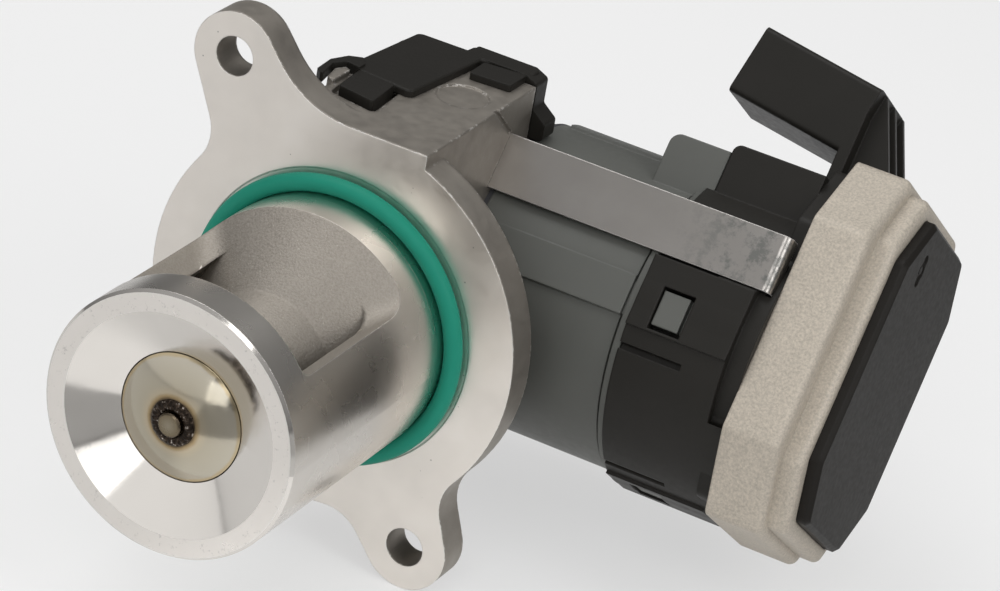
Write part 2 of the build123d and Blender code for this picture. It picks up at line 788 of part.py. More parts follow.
with BuildPart() as motor_can:
    round_bar(across(can_x0), can_r, can_end - can_x0)
    round_bar(across(can_x0), can_r - can_wall, can_end - can_x0 - can_wall, mode=Mode.SUBTRACT)
    round_bar(across(can_end - can_wall), hub_r, can_wall, mode=Mode.SUBTRACT)
    fillet(motor_can.edges().filter_by(GeomType.CIRCLE).sort_by(Axis.X)[-1], radius=0.8)
finish(motor_can, "motor_can")

stack_r = can_r - can_wall - fit_gap

with BuildPart() as stator_stack:
    with BuildSketch(across(stack_x[0])) as lamination:
        Circle(stack_r)
        Circle(stack_r - yoke_ring_t, mode=Mode.SUBTRACT)
        with PolarLocations((stack_r - yoke_ring_t + rotor_r + air_gap + shoe_t) / 2 + 0.3, stator_teeth):
            Rectangle(stack_r - yoke_ring_t - rotor_r - air_gap - shoe_t + 0.8, tooth_w)
        with PolarLocations(rotor_r + air_gap + shoe_t / 2 + 0.4, stator_teeth):
            Rectangle(shoe_t + 0.8, shoe_w)
        Circle(rotor_r + air_gap, mode=Mode.SUBTRACT)
    extrude(lamination.sketch, amount=stack_x[1] - stack_x[0])
finish(stator_stack, "stator_stack")

coil_in = rotor_r + air_gap + shoe_t + 1.2
coil_out = stack_r - yoke_ring_t - 0.9

with BuildPart() as stator_coils:
    with BuildSketch(across(stack_x[0] - coil_over)) as coil_outline:
        with PolarLocations((coil_in + coil_out) / 2, stator_teeth):
            Rectangle(coil_out - coil_in, tooth_w + 2 * coil_wall)
    extrude(coil_outline.sketch, amount=stack_x[1] - stack_x[0] + 2 * coil_over)
    with BuildSketch(across(stack_x[0])) as tooth_room:
        with PolarLocations((coil_in + coil_out) / 2, stator_teeth):
            Rectangle(coil_out - coil_in + 1, tooth_w + 2 * fit_gap)
    extrude(tooth_room.sketch, amount=stack_x[1] - stack_x[0], mode=Mode.SUBTRACT)
finish(stator_coils, "stator_coils")

with BuildPart() as motor_rotor:
    round_bar(across(stack_x[0]), rotor_r, stack_x[1] - stack_x[0])
    chamfer(motor_rotor.edges().filter_by(GeomType.CIRCLE), length=0.6)
    round_bar(across(front_bearing_x + bearing_w), shaft_r + 1.2, rear_bearing_x - front_bearing_x - bearing_w)
    round_bar(across(input_x[0]), shaft_r, magnet_x + magnet_t - 0.6 - input_x[0])
finish(motor_rotor, "motor_rotor")

with BuildPart() as rotor_bearings:
    for x in (front_bearing_x, rear_bearing_x):
        turned(turning_plane, motor_axis,
               [(x, shaft_r + run_gap), (x + bearing_w, shaft_r + run_gap), (x + bearing_w, shaft_r + 1.3),
                (x + bearing_w - 0.3, shaft_r + 1.5), (x + bearing_w - 0.3, bearing_r - 1.2),
                (x + bearing_w, bearing_r - 1.0), (x + bearing_w, bearing_r), (x, bearing_r),
                (x, bearing_r - 1.0), (x + 0.3, bearing_r - 1.2), (x + 0.3, shaft_r + 1.5),
                (x, shaft_r + 1.3)])
finish(rotor_bearings, "rotor_bearings")

with BuildPart() as sensor_magnet:
    round_bar(across(magnet_x), magnet_r, magnet_t)
    round_bar(across(magnet_x), shaft_r, magnet_t - 0.6, mode=Mode.SUBTRACT)
finish(sensor_magnet, "sensor_magnet")

# Gasket between the casting and the grey housing
with BuildPart() as housing_gasket:
    round_bar(across(block_x[1]), housing_r, gasket_t)
    round_bar(across(block_x[1]), housing_r - gasket_w, gasket_t, mode=Mode.SUBTRACT)
finish(housing_gasket, "housing_gasket")

# Grey motor housing: a cup with a locating rib, a raised pad and two snap tongues
with BuildPart() as motor_housing:
    turned(turning_plane, motor_axis,
           [(housing_x0, 0), (housing_x0, housing_r), (housing_end - lip_len - lip_groove, housing_r),
            (housing_end - lip_len - lip_groove, housing_r - 0.7), (housing_end - lip_len, housing_r - 0.7),
            (housing_end - lip_len, lip_r), (housing_end, lip_r), (housing_end, 0)])
    pad_end = housing_end - lip_len - lip_groove
    round_land(across(pad_x0), housing_r + pad_proud, pad_p, (0, housing_r + pad_proud), pad_end - pad_x0)
    slab(across(rib_x0), (-housing_r - rib_proud, 0), rib_q, pad_end - rib_x0)
    raised_block(snap_x, snap_p, housing_r + snap_proud, snap_round)
    turned(turning_plane, motor_axis,
           [(floor_x, 0), (floor_x, gear_bore_r), (front_plate_x, gear_bore_r),
            (front_plate_x, motor_bore_r), (snap_x[1] + 1, motor_bore_r), (snap_x[1] + 1, 0)],
           mode=Mode.SUBTRACT)
    slab(across(housing_end - 4), tongue_p, tongue_q, tongue_end - housing_end + 4)
    slab(across(nub_x[0]), (tongue_p[0] - nub_h, tongue_p[1]), tongue_q, nub_x[1] - nub_x[0])
    slab(across(housing_end - 4), under_tongue_p, tongue_p, tongue_end - housing_end + 4)
    slab(across(nub_x[0]), under_tongue_p, (tongue_p[0] - nub_h, tongue_p[1]), nub_x[1] - nub_x[0])
    round_bar(across(housing_x0), crank_bush_r, housing_floor, mode=Mode.SUBTRACT)
    round_bar(across(floor_x), idler_pin_r + 0.4, gear_side_gap - 0.3, idler_at)
    round_bar(across(housing_x0 + 0.3), idler_pin_r, housing_floor + gear_side_gap, idler_at, Mode.SUBTRACT)
finish(motor_housing, "motor_housing")


# Connector carrier, the black moulding that joins motor, board and plug
def plug_plane():
    """Plane across the plug, at its foot: it looks out of the plug's mouth, and local y is up."""
    a = radians(plug_tilt)
    up = Vector(0, sin(radians(tilt)), cos(radians(tilt)))
    back = Vector(0, cos(radians(tilt)), -sin(radians(tilt)))
    origin = (Vector(plug_x, axis_y, axis_z) + up * plug_top + back * plug_p[0]
              - (up * cos(a) + Vector(sin(a), 0, 0)) * plug_h)
    outwards = Vector(-cos(a), 0, 0) + up * sin(a)
    return Plane(origin=origin, x_dir=back, z_dir=outwards)


plug_depth = plug_p[1] - plug_p[0]
foot = plug_plane()

with BuildPart() as terminal_pins:
    with BuildSketch(foot.offset(plug_floor - pin_root)) as blades:
        with Locations((plug_depth / 2, -plug_h / 2)):
            with GridLocations(pin_pitch, 1, pin_count, 1):
                Rectangle(*pin_size)
    extrude(blades.sketch, amount=pin_len + pin_root)
finish(terminal_pins, "terminal_pins")


carrier_neck_r = carrier_r - carrier_neck_step
finger_face = carrier_r - finger_sunk
strap_back = -strap_face + strap_t

with BuildPart() as connector_carrier:
    # Ring behind the housing's lip, with the sleeve that plugs into the housing
    round_bar(across(carrier_x0), carrier_r, cover_x - carrier_x0)
    with BuildSketch(across(ring_x1)) as neck_groove:
        with Locations((0, carrier_r + ring_run_q)):
            Rectangle(3 * carrier_r, 2 * carrier_r)
        Circle(carrier_neck_r, mode=Mode.SUBTRACT)
    extrude(neck_groove.sketch, amount=cover_x - ring_x1, mode=Mode.SUBTRACT)
    raised_block(low_block_x, low_block_p, low_block_q, block_round)
    raised_block(low_block_x, (low_block_p[1] - 0.5, plug_p[1]), high_block_q, block_round)
    slab(across(neck_x[0]), plug_p, (carrier_r - neck_root, plug_top - neck_top), neck_x[1] - neck_x[0])
    # Seat of the end cover
    shape(across(ring_x1), cut_corner_points(cover_p, cover_q, cover_cut, cover_wall + fit_gap),
          cover_x + spigot_reach - ring_x1, round_r=corner_r)
    # Flats of the two spring fingers over the housing's tongues
    slab(across(carrier_x0), (-finger_face, 0), finger_pad_q, ring_x1 - carrier_x0)
    slab(across(carrier_x0), under_pad_p, (-finger_face, 0), ring_x1 - carrier_x0)
    # Plug and the ribs that brace it
    slab(foot.offset(-1.0), (0, plug_depth), (-plug_h, 0), plug_len + 1.0, round_r=plug_round)
    for p in gusset_p:
        low, ledge, high = high_block_q - gusset_sunk, cover_q[1] + gusset_clear, plug_top - gusset_top
        shape(facing(p - gusset_t / 2),
              [(neck_x[1] - gusset_lap, low), (cover_x - gusset_clear, low), (cover_x - gusset_clear, ledge),
               (gusset_foot, ledge), (gusset_crest, high), (neck_x[1] - gusset_lap, high)], -gusset_t)
    slab(foot.offset(plug_floor), (plug_wall, plug_depth - plug_wall), (-plug_h + plug_wall, -plug_wall),
         plug_len, mode=Mode.SUBTRACT, round_r=plug_round / 2)
    # Notch for the housing's snap block
    slab(across(carrier_x0), (snap_p[0] - fit_gap, snap_p[1] + fit_gap), (0, high_block_q + 1),
         snap_x[1] + 0.1 - carrier_x0, mode=Mode.SUBTRACT)
    # Sleeve into the housing, then the room for the motor, its bearing, the magnet and the board
    round_bar(across(carrier_x0 - sleeve_reach), sleeve_r, sleeve_reach + bulkhead_x - carrier_x0)
    turned(turning_plane, motor_axis,
           [(carrier_x0 - sleeve_reach, 0), (carrier_x0 - sleeve_reach, can_r + fit_gap),
            (can_end + fit_gap, can_r + fit_gap),
            (can_end + fit_gap, bearing_r + 3.0), (rear_bearing_x - 1, bearing_r + 3.0), (rear_bearing_x - 1, 0)],
           mode=Mode.SUBTRACT)
    turned(turning_plane, motor_axis,
           [(rear_bearing_x - 1.5, 0), (rear_bearing_x - 1.5, bearing_r), (rear_bearing_x + bearing_w, bearing_r),
            (rear_bearing_x + bearing_w, shaft_r + 1.2), (ring_x1, shaft_r + 1.2), (ring_x1, magnet_r + 3),
            (cover_x + spigot_reach + 1, magnet_r + 3), (cover_x + spigot_reach + 1, 0)], mode=Mode.SUBTRACT)
    shape(across(ring_x1 + 0.6), cut_corner_points(cover_p, cover_q, cover_cut, 2 * cover_wall + fit_gap),
          cover_x + spigot_reach - ring_x1, mode=Mode.SUBTRACT, round_r=corner_r)
    for p in screw_p:
        for q in screw_q:
            round_bar(across(ring_x1), screw_boss_r, board_x - board_gap - ring_x1, (p, q))
            round_bar(across(ring_x1), screw_r, board_x - ring_x1, (p, q), Mode.SUBTRACT)
    # Room for the housing's tongues, the fingers' slits and windows, and the strap's flat
    tongue_room = (tongue_p[0] - fit_gap, tongue_p[1] + fit_gap)
    slit_room = (-carrier_r - 2, -sleeve_r - 0.3)
    slab(across(carrier_x0 - 1), tongue_room, (tongue_q[0] - 0.4, tongue_q[1] + 0.4),
         tongue_end + 0.5 - carrier_x0 + 1, mode=Mode.SUBTRACT)
    slab(across(carrier_x0 - 1), (under_tongue_p[0] - 0.4, under_tongue_p[1] + 0.4), tongue_room,
         tongue_end + 0.5 - carrier_x0 + 1, mode=Mode.SUBTRACT)
    for q in (finger_q[0] - slit_w, finger_q[1]):
        slab(across(carrier_x0 - 1), slit_room, (q, q + slit_w), slit_end - carrier_x0 + 1, mode=Mode.SUBTRACT)
    for p in (under_finger_p[0] - slit_w, under_finger_p[1]):
        slab(across(carrier_x0 - 1), (p, p + slit_w), slit_room, slit_end - carrier_x0 + 1, mode=Mode.SUBTRACT)
    window_depth = carrier_r + 2 + tongue_p[1] - fit_gap
    slab(facing(-carrier_r - 2), window_x, window_q, -window_depth, mode=Mode.SUBTRACT)
    slab(rising(-carrier_r - 2), window_x, under_window_p, window_depth, mode=Mode.SUBTRACT)
    slab(across(carrier_x0 - 1), (-carrier_r - 3, strap_back + fit_gap),
         (strap_q[0] - 0.3, strap_q[1] + 0.3), ring_x1 - carrier_x0 + 1, mode=Mode.SUBTRACT)
    slab(across(strap_end - strap_t - 0.2), (-carrier_r - 3, strap_back + strap_tab),
         (strap_q[0] - 0.3, strap_q[1] + 0.3), strap_t + 0.2, mode=Mode.SUBTRACT)
    add(terminal_pins.part, mode=Mode.SUBTRACT)
finish(connector_carrier, "connector_carrier")

# Board with its hall sensor over the magnet
with BuildPart() as circuit_board:
    slab(across(board_x), board_p, board_q, board_t, round_r=board_corner_r)
    slab(across(board_x - chip_size[2]), (-chip_size[0] / 2, chip_size[0] / 2),
         (-chip_size[1] / 2, chip_size[1] / 2), chip_size[2])
    with BuildSketch(across(board_x + board_t)) as parts_on_board:
        with GridLocations(*board_part_pitch, 3, 3):
            Rectangle(*board_part[:2])
    extrude(parts_on_board.sketch, amount=board_part[2])
finish(circuit_board, "circuit_board")

# Cast end cover: two steps with cut corners, hollow over the board
with BuildPart() as end_cover:
    shape(across(cover_x), cut_corner_points(cover_p, cover_q, cover_cut), cover_len, round_r=corner_r)
    fillet(end_cover.faces().sort_by(Axis.X)[-1].edges(), radius=cover_round)
    shape(across(cover_x + cover_len), cut_corner_points(step_p, step_q, step_cut), step_len,
          round_r=corner_r)
    fillet(end_cover.faces().sort_by(Axis.X)[-1].edges(), radius=step_round)
    shape(across(cover_x), cut_corner_points(cover_p, cover_q, cover_cut, cover_wall),
          cover_len - cover_roof, mode=Mode.SUBTRACT, round_r=corner_r)
    shape(across(cover_x), cut_corner_points(step_p, step_q, step_cut, cover_wall),
          roof_x - cover_roof - cover_x, mode=Mode.SUBTRACT, round_r=corner_r)
    shape(across(roof_x), cut_corner_points(plate_p, plate_q, plate_cut, -fit_gap), plate_sunk + 1,
          mode=Mode.SUBTRACT, round_r=corner_r)
    for p in screw_p:
        for q in screw_q:
            round_bar(across(board_x - board_gap + fit_gap), screw_boss_r, roof_x - board_x + board_gap - fit_gap,
                      (p, q))
            round_bar(across(board_x - board_gap), screw_r + fit_gap, roof_x - board_x + board_gap, (p, q),
                      Mode.SUBTRACT)
            round_bar(across(roof_x - screw_head_t), screw_head_r + 2 * fit_gap, screw_head_t, (p, q),
                      Mode.SUBTRACT)
finish(end_cover, "end_cover")

# Black end plate, bevelled, with the moulding's gate mark
with BuildPart() as end_plate:
    shape(across(plate_x), cut_corner_points(plate_p, plate_q, plate_cut), plate_sunk + plate_proud,
          round_r=corner_r)
    chamfer(end_plate.faces().sort_by(Axis.X)[-1].edges(), length=plate_bevel)
    plate_face = plate_x + plate_sunk + plate_proud
    with BuildSketch(across(plate_face - gate_depth)) as gate:
        with Locations(gate_at):
            SlotOverall(gate_len, gate_w, rotation=90)
            Circle(gate_r)
    extrude(gate.sketch, amount=gate_depth, mode=Mode.SUBTRACT)
    round_bar(across(plate_face - gate_depth), gate_r * 0.5, gate_depth * 0.6, gate_at)
finish(end_plate, "end_plate")

# Screws under the end plate
with BuildPart() as cover_screws:
    for p in screw_p:
        for q in screw_q:
            round_bar(across(roof_x - screw_head_t), screw_head_r, screw_head_t - 0.1, (p, q))
            round_bar(across(roof_x - screw_head_t - screw_reach), screw_r, screw_reach, (p, q))
            with BuildSketch(across(roof_x - 0.1 - drive_depth)) as drive:
                with Locations((p, q)):
                    RegularPolygon(drive_r, 6)
            extrude(drive.sketch, amount=drive_depth, mode=Mode.SUBTRACT)
finish(cover_screws, "cover_screws")

# Steel strap, hooked in the casting and bent over the carrier's edge
with BuildPart() as clamp_strap:
    root_x = block_x[1] - strap_root
    with BuildSketch(rising(strap_q[0])) as strap_side:
        with BuildLine() as edge:
            Polyline((root_x, -strap_face), (strap_end, -strap_face), (strap_end, -strap_face + strap_tab),
                     (strap_end - strap_t, -strap_face + strap_tab), (strap_end - strap_t, strap_back),
                     (root_x, strap_back), close=True)
        make_face(edge.edges())
        fillet(strap_side.vertices().sort_by_distance((strap_end, -strap_face))[0], radius=strap_bend_r)
        fillet(strap_side.vertices().sort_by_distance((strap_end - strap_t, strap_back))[0],
               radius=strap_bend_r - strap_t)
    extrude(strap_side.sketch, amount=strap_q[1] - strap_q[0])
finish(clamp_strap, "clamp_strap")

# O-ring on the spigot, against the flange
with BuildPart() as flange_o_ring:
    with BuildSketch(Plane.XY) as ring_section:
        with Locations((groove_r + ring_section_r, -ring_section_r)):
            Circle(ring_section_r)
    revolve(ring_section.sketch, axis=Axis.Y)
finish(flange_o_ring, "flange_o_ring")

# Black cap that closes the casting's port
cap_centre = [(-11.0, 18.6), (-0.2, 17.6), (2.1, 40.6), (-11.3, 40.3), (-13.1, 22.1)]
cap_lobe = [(-14.1, 11.3), (-15.8, 12.7), (-16.1, 17.7), (-14.6, 21.3), (-12.4, 22.6), (-10.9, 20.6),
            (-10.9, 18.6), (-13.6, 19.0), (-15.0, 16.7)]
cap_arm = [(-2.2, 38.0), (-1.6, 42.7), (11.5, 43.3), (11.3, 40.2), (2.6, 38.9)]
tail_x = (block_x[1] + tail_reach[0], block_x[1] + tail_reach[1])
cap_tail = [(-1.5, block_top + cap_t), (10.4, block_top + cap_t), (tail_x[0], block_top + tail_crown),
            (tail_x[0], tail_z + tail_knees[1] * tail_run), (tail_x[1], tail_z + tail_knees[0] * tail_run),
            (tail_x[1], tail_z), (-1.5, tail_z)]

with BuildPart() as top_cap:
    shape(Plane.XY.offset(block_top), cap_centre, cap_t, round_r=cap_round)
    shape(Plane.XY.offset(block_top), cap_arm, cap_t, round_r=cap_arm_round)
    chamfer(top_cap.faces().sort_by(Axis.Z)[-1].edges(), length=cap_break)
    shape(Plane.XY.offset(block_top - pad_recess), cap_left_pad, pad_recess + cap_pad_t, round_r=0.5)
    shape(Plane.XY.offset(block_top), cap_right_pad, cap_pad_t, round_r=0.5)
    shape(Plane.XY.offset(block_top), cap_lobe, cap_lobe_t, round_r=0.3)
    shape(at_y(tail_y[0]), cap_tail, -(tail_y[1] - tail_y[0]), round_r=tail_round)
finish(top_cap, "top_cap")
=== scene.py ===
import json
from functools import partial
from math import cos, hypot, pi, radians, sin

import bmesh
import bpy
from mathutils import Matrix, Vector, noise


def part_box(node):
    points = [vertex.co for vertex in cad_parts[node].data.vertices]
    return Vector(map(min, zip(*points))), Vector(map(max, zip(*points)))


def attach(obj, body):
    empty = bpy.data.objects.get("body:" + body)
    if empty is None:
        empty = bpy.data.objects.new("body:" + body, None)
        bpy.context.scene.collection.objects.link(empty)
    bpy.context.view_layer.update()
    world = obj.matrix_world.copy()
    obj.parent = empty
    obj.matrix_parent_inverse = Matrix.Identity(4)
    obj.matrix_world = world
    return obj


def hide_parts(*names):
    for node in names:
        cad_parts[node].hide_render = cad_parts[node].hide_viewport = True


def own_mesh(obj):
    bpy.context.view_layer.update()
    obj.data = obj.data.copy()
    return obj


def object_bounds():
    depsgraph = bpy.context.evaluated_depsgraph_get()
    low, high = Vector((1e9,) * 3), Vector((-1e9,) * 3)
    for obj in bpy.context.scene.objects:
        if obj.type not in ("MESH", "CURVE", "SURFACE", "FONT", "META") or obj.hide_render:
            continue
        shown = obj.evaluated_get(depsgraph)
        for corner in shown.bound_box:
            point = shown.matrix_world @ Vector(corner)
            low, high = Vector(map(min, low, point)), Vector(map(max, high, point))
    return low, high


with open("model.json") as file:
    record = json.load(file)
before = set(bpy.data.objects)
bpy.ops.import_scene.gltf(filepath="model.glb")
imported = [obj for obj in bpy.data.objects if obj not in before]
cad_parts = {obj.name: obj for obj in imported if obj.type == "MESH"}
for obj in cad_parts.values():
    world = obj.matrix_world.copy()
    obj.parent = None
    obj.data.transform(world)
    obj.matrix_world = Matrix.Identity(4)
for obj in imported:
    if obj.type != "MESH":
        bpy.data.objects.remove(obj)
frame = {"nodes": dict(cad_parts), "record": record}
cad_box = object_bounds()

bl_info = {
    "name": "Exhaust gas recirculation valve",
    "version": (1, 0, 0),
    "blender": (4, 5, 0),
    "location": "View3D > Sidebar > Valve",
    "description": "Dresses the packed valve with finished castings, mouldings and metals",
    "category": "Object",
}

MM = 0.001

# Sizes of the casting and the poppet that the finishes follow, in millimetres
barrel = next(mount["dims"] for mount in frame["record"]["mounts"] if mount["name"] == "barrel")
BARREL_R = barrel["r_mm"]
BARREL_END = -barrel["length_mm"]
DISC_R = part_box("valve_disc")[1][0] / MM
STEM_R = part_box("valve_stem")[1][0] / MM
CHAMBER_R = 18.4
WINDOW_FRONT = -44.2
GROOVE_EDGE = -4.7


# Meshes
def mesh_object(name, points, faces):
    """Object made of points and faces, with doubled points merged and its faces turned outward."""
    mesh = bpy.data.meshes.new(name)
    mesh.from_pydata([tuple(point) for point in points], [], faces)
    work = bmesh.new()
    work.from_mesh(mesh)
    bmesh.ops.remove_doubles(work, verts=work.verts, dist=1e-8)
    bmesh.ops.recalc_face_normals(work, faces=work.faces)
    work.to_mesh(mesh)
    work.free()
    piece = bpy.data.objects.new(name, mesh)
    bpy.context.scene.collection.objects.link(piece)
    return piece


def swept_faces(rows, around, joined):
    """Faces of a section with points around it, swept through rows; joined closes the sweep on itself."""
    faces = []
    for i in range(rows if joined else rows - 1):
        here, there = i * around, (i + 1) % rows * around
        for k in range(around):
            n = (k + 1) % around
            faces.append([here + k, here + n, there + n, there + k])
    if not joined:
        faces += [list(range(around)), list(range((rows - 1) * around, rows * around))]
    return faces


def smooth(piece, angle=28.0):
    """Smooth shading with the sharp edges kept."""
    piece.data.shade_smooth()
    piece.data.set_sharp_from_angle(angle=radians(angle))


def paint(piece, materials, rule):
    """Gives each face the material that rule(centre, normal) names by its number."""
    piece.data.materials.clear()
    for material in materials:
        piece.data.materials.append(material)
    for face in piece.data.polygons:
        face.material_index = rule(face.center / MM, face.normal)


def finish_nodes(finishes_of):
    """Gives the frame's own parts their finishes, from a table of node to finish."""
    for node, name in finishes_of.items():
        piece = frame["nodes"][node]
        for slot in piece.material_slots:
            slot.material = finish(name)
        smooth(piece)


# Cosines of the turn, of the rounded normal from the face's own, at which wear is full and at which it ends
WORN_FULL = 0.86
WORN_NONE = 0.985


# Materials
class Nodes:
    """A node tree under construction, with short calls for the nodes that it uses."""

    def __init__(self, tree):
        self.tree = tree

    def put(self, socket, value):
        """Links a source to a socket, or sets a number, a vector or a colour on it."""
        if isinstance(value, bpy.types.NodeSocket):
            self.tree.links.new(value, socket)
        elif isinstance(value, tuple) and len(socket.default_value) == 4:
            socket.default_value = (*value, 1)
        else:
            socket.default_value = value

    def add(self, kind, inputs=None, **settings):
        """New node with its settings, and with its inputs linked or set."""
        node = self.tree.nodes.new("ShaderNode" + kind)
        for name, value in settings.items():
            setattr(node, name, value)
        for name, value in (inputs or {}).items():
            self.put(node.inputs[name], value)
        return node

    def math(self, operation, a, b=None):
        """Result of a sum, a product or another operation on a, or on a and b."""
        node = self.add("Math", {0: a}, operation=operation)
        if b is not None:
            self.put(node.inputs[1], b)
        return node.outputs[0]

    def mix(self, factor, a, b, blend="MIX"):
        """Colour between a and b."""
        inputs = {"Factor": factor, "A": a, "B": b}
        return self.add("Mix", inputs, data_type="RGBA", blend_type=blend).outputs["Result"]

    def between(self, factor, a, b):
        """Number between a and b."""
        return self.add("Mix", {"Factor": factor, "A": a, "B": b}).outputs["Result"]

    def graded(self, value, edge, levels, kind="SMOOTHSTEP"):
        """Goes from the first level to the second between the two values of edge."""
        inputs = dict(zip(("From Min", "From Max", "To Min", "To Max", "Value"), (*edge, *levels, value)))
        return self.add("MapRange", inputs, interpolation_type=kind).outputs["Result"]

    def ramp(self, value, *stops):
        """Grey values or colours between stops of (position, value)."""
        node = self.add("ValToRGB", {"Fac": value})
        elements = node.color_ramp.elements
        while len(elements) < len(stops):
            elements.new(0.5)
        for element, (position, level) in zip(elements, stops):
            element.position = position
            element.color = (*level, 1) if isinstance(level, tuple) else (level, level, level, 1)
        return node.outputs["Color"]

    def split(self, place):
        """The three measures that a place is made of."""
        return self.add("SeparateXYZ", {0: place}).outputs


class Finish(Nodes):
    """A material; the colour and roughness given here are for views that read no nodes."""

    def __init__(self, name, colour, metallic=0.0, roughness=0.5, **sockets):
        self.material = bpy.data.materials.new(name)
        self.material.use_nodes = True
        self.material.diffuse_color = (*colour, 1)
        super().__init__(self.material.node_tree)
        self.shader = self.tree.nodes["Principled BSDF"]
        self.set(Base_Color=colour, Metallic=metallic, Roughness=roughness, **sockets)
        self.place = self.add("TexCoord").outputs["Object"]
        self.base_normal = None

    def set(self, **sockets):
        """Sets or links the shader's sockets."""
        for name, value in sockets.items():
            self.put(self.shader.inputs[name.replace("_", " ")], value)

    def noise(self, size, detail=4.0, stretch=(1, 1, 1), roughness=0.55, turn=(0, 0, 0)):
        """Noise with features of about size millimetres, drawn out along the axes by stretch."""
        mapping = self.add("Mapping", {"Scale": stretch, "Rotation": turn, "Vector": self.place},
                           vector_type="TEXTURE")
        inputs = {"Scale": 1 / (size * MM), "Detail": detail, "Roughness": roughness,
                  "Vector": mapping.outputs["Vector"]}
        return self.add("TexNoise", inputs).outputs["Fac"]

    def line_noise(self, along, size, detail=2.0):
        """Noise that changes only with one measure, in metres, with features of about size millimetres."""
        inputs = {"Scale": 1 / (size * MM), "Detail": detail, "W": along}
        return self.add("TexNoise", inputs, noise_dimensions="1D").outputs["Fac"]

    def specks(self, size):
        """Cell distances with cells of about size millimetres."""
        return self.add("TexVoronoi", {"Scale": 1 / (size * MM), "Vector": self.place}).outputs["Distance"]

    def axes(self):
        """Measures along the part's X, Y and Z, in metres."""
        return self.split(self.place)

    def radius(self):
        """Distance from the valve's axis, in metres."""
        x, y, z = self.axes()
        return self.math("SQRT", self.math("ADD", self.math("MULTIPLY", x, x), self.math("MULTIPLY", z, z)))

    def rounded_edges(self, radius):
        """Shading normal that rounds the sharp edges by radius metres."""
        self.base_normal = self.add("Bevel", {"Radius": radius}, samples=6).outputs["Normal"]
        self.set(Normal=self.base_normal)

    def worn_edges(self, size, share=0.5):
        """1 along the rounded edges, broken up by noise of about size millimetres; more share keeps more."""
        facing = self.add("NewGeometry").outputs["Normal"]
        turn = self.add("VectorMath", {0: self.base_normal, 1: facing}, operation="DOT_PRODUCT")
        edge = self.ramp(turn.outputs["Value"], (WORN_FULL, 1.0), (WORN_NONE, 0.0))
        start = 0.62 - 0.25 * share
        broken = self.ramp(self.noise(size, 4), (start, 0.0), (start + 0.08, 1.0))
        return self.math("MULTIPLY", edge, broken)

    def bump(self, *layers):
        """Bump from (height source, strength, depth in millimetres), each laid on the one before."""
        below = self.base_normal
        for source, strength, depth in layers:
            inputs = {"Strength": strength, "Distance": depth * MM, "Height": source}
            if below is not None:
                inputs["Normal"] = below
            below = self.add("Bump", inputs).outputs["Normal"]
        self.set(Normal=below)

    def turned(self):
        """Draws the gloss out round the valve's axis, as turning does."""
        self.set(Tangent=self.add("Tangent", direction_type="RADIAL", axis="Y").outputs[0])


def milled_alloy():
    """The flange's milled face: pale, with soft zones of painted reflection, small pits, fine scratches and
    nicked edges.
    """
    f = Finish("milled_alloy", (0.86, 0.81, 0.75), 0.92, 0.36)
    f.rounded_edges(sizes().machined_edge)
    pits = f.ramp(f.specks(3.4), (0.0, 0.35), (0.03, 0.55), (0.05, 1.0))
    # tone: soft zones of paler and darker colour that stand in for blurred reflections, a painted reflection
    tone = f.ramp(f.noise(16, 3), (0.3, (0.80, 0.755, 0.70)), (0.55, (0.87, 0.82, 0.76)),
                  (0.8, (0.92, 0.875, 0.82)))
    worn = f.worn_edges(1.3)
    f.set(Base_Color=f.mix(worn, f.mix(1.0, tone, pits, "MULTIPLY"), (0.93, 0.92, 0.90)),
          Roughness=f.ramp(f.noise(5, 6), (0.3, 0.29), (0.7, 0.43)))
    scratches = f.noise(0.16, 2, stretch=(50, 1, 1), turn=(0, radians(38), 0))
    f.bump((scratches, 0.10, 0.02), (f.noise(0.5, 6), 0.10, 0.03), (pits, 0.3, 0.05), (worn, 0.3, 0.08))
    return f.material


def faced_alloy():
    """The flat ring round the barrel's mouth: pale and satin, with small marks."""
    f = Finish("faced_alloy", (0.88, 0.84, 0.79), 0.92, 0.32)
    f.rounded_edges(sizes().machined_edge)
    marks = f.ramp(f.noise(0.9, 6, roughness=0.7), (0.34, 0.80), (0.40, 1.0))
    tone = f.mix(f.noise(7, 4), (0.86, 0.82, 0.77), (0.93, 0.885, 0.835))
    f.set(Base_Color=f.mix(f.worn_edges(1.6, 0.7), f.mix(1.0, tone, marks, "MULTIPLY"), (0.94, 0.93, 0.91)),
          Roughness=f.ramp(f.noise(2.5, 5), (0.3, 0.27), (0.75, 0.38)))
    f.bump((f.line_noise(f.radius(), 0.10), 0.08, 0.01), (f.noise(0.5, 5), 0.08, 0.02))
    return f.material


def turned_alloy():
    """The polished cone in the barrel's mouth, with fine lines round it."""
    f = Finish("turned_alloy", (0.80, 0.78, 0.75), 1.0, 0.10, Anisotropic=0.35)
    f.turned()
    f.set(Base_Color=f.mix(f.noise(6, 4), (0.77, 0.735, 0.69), (0.83, 0.795, 0.75)),
          Roughness=f.ramp(f.noise(3, 6), (0.3, 0.075), (0.75, 0.13)))
    f.bump((f.line_noise(f.radius(), 0.09, 3.0), 0.16, 0.01), (f.noise(0.7, 5), 0.02, 0.01))
    return f.material


# Half the width of the bright lip where the ring's groove ends on the barrel, a painted highlight, in
# millimetres
GROOVE_HIGHLIGHT = 0.16


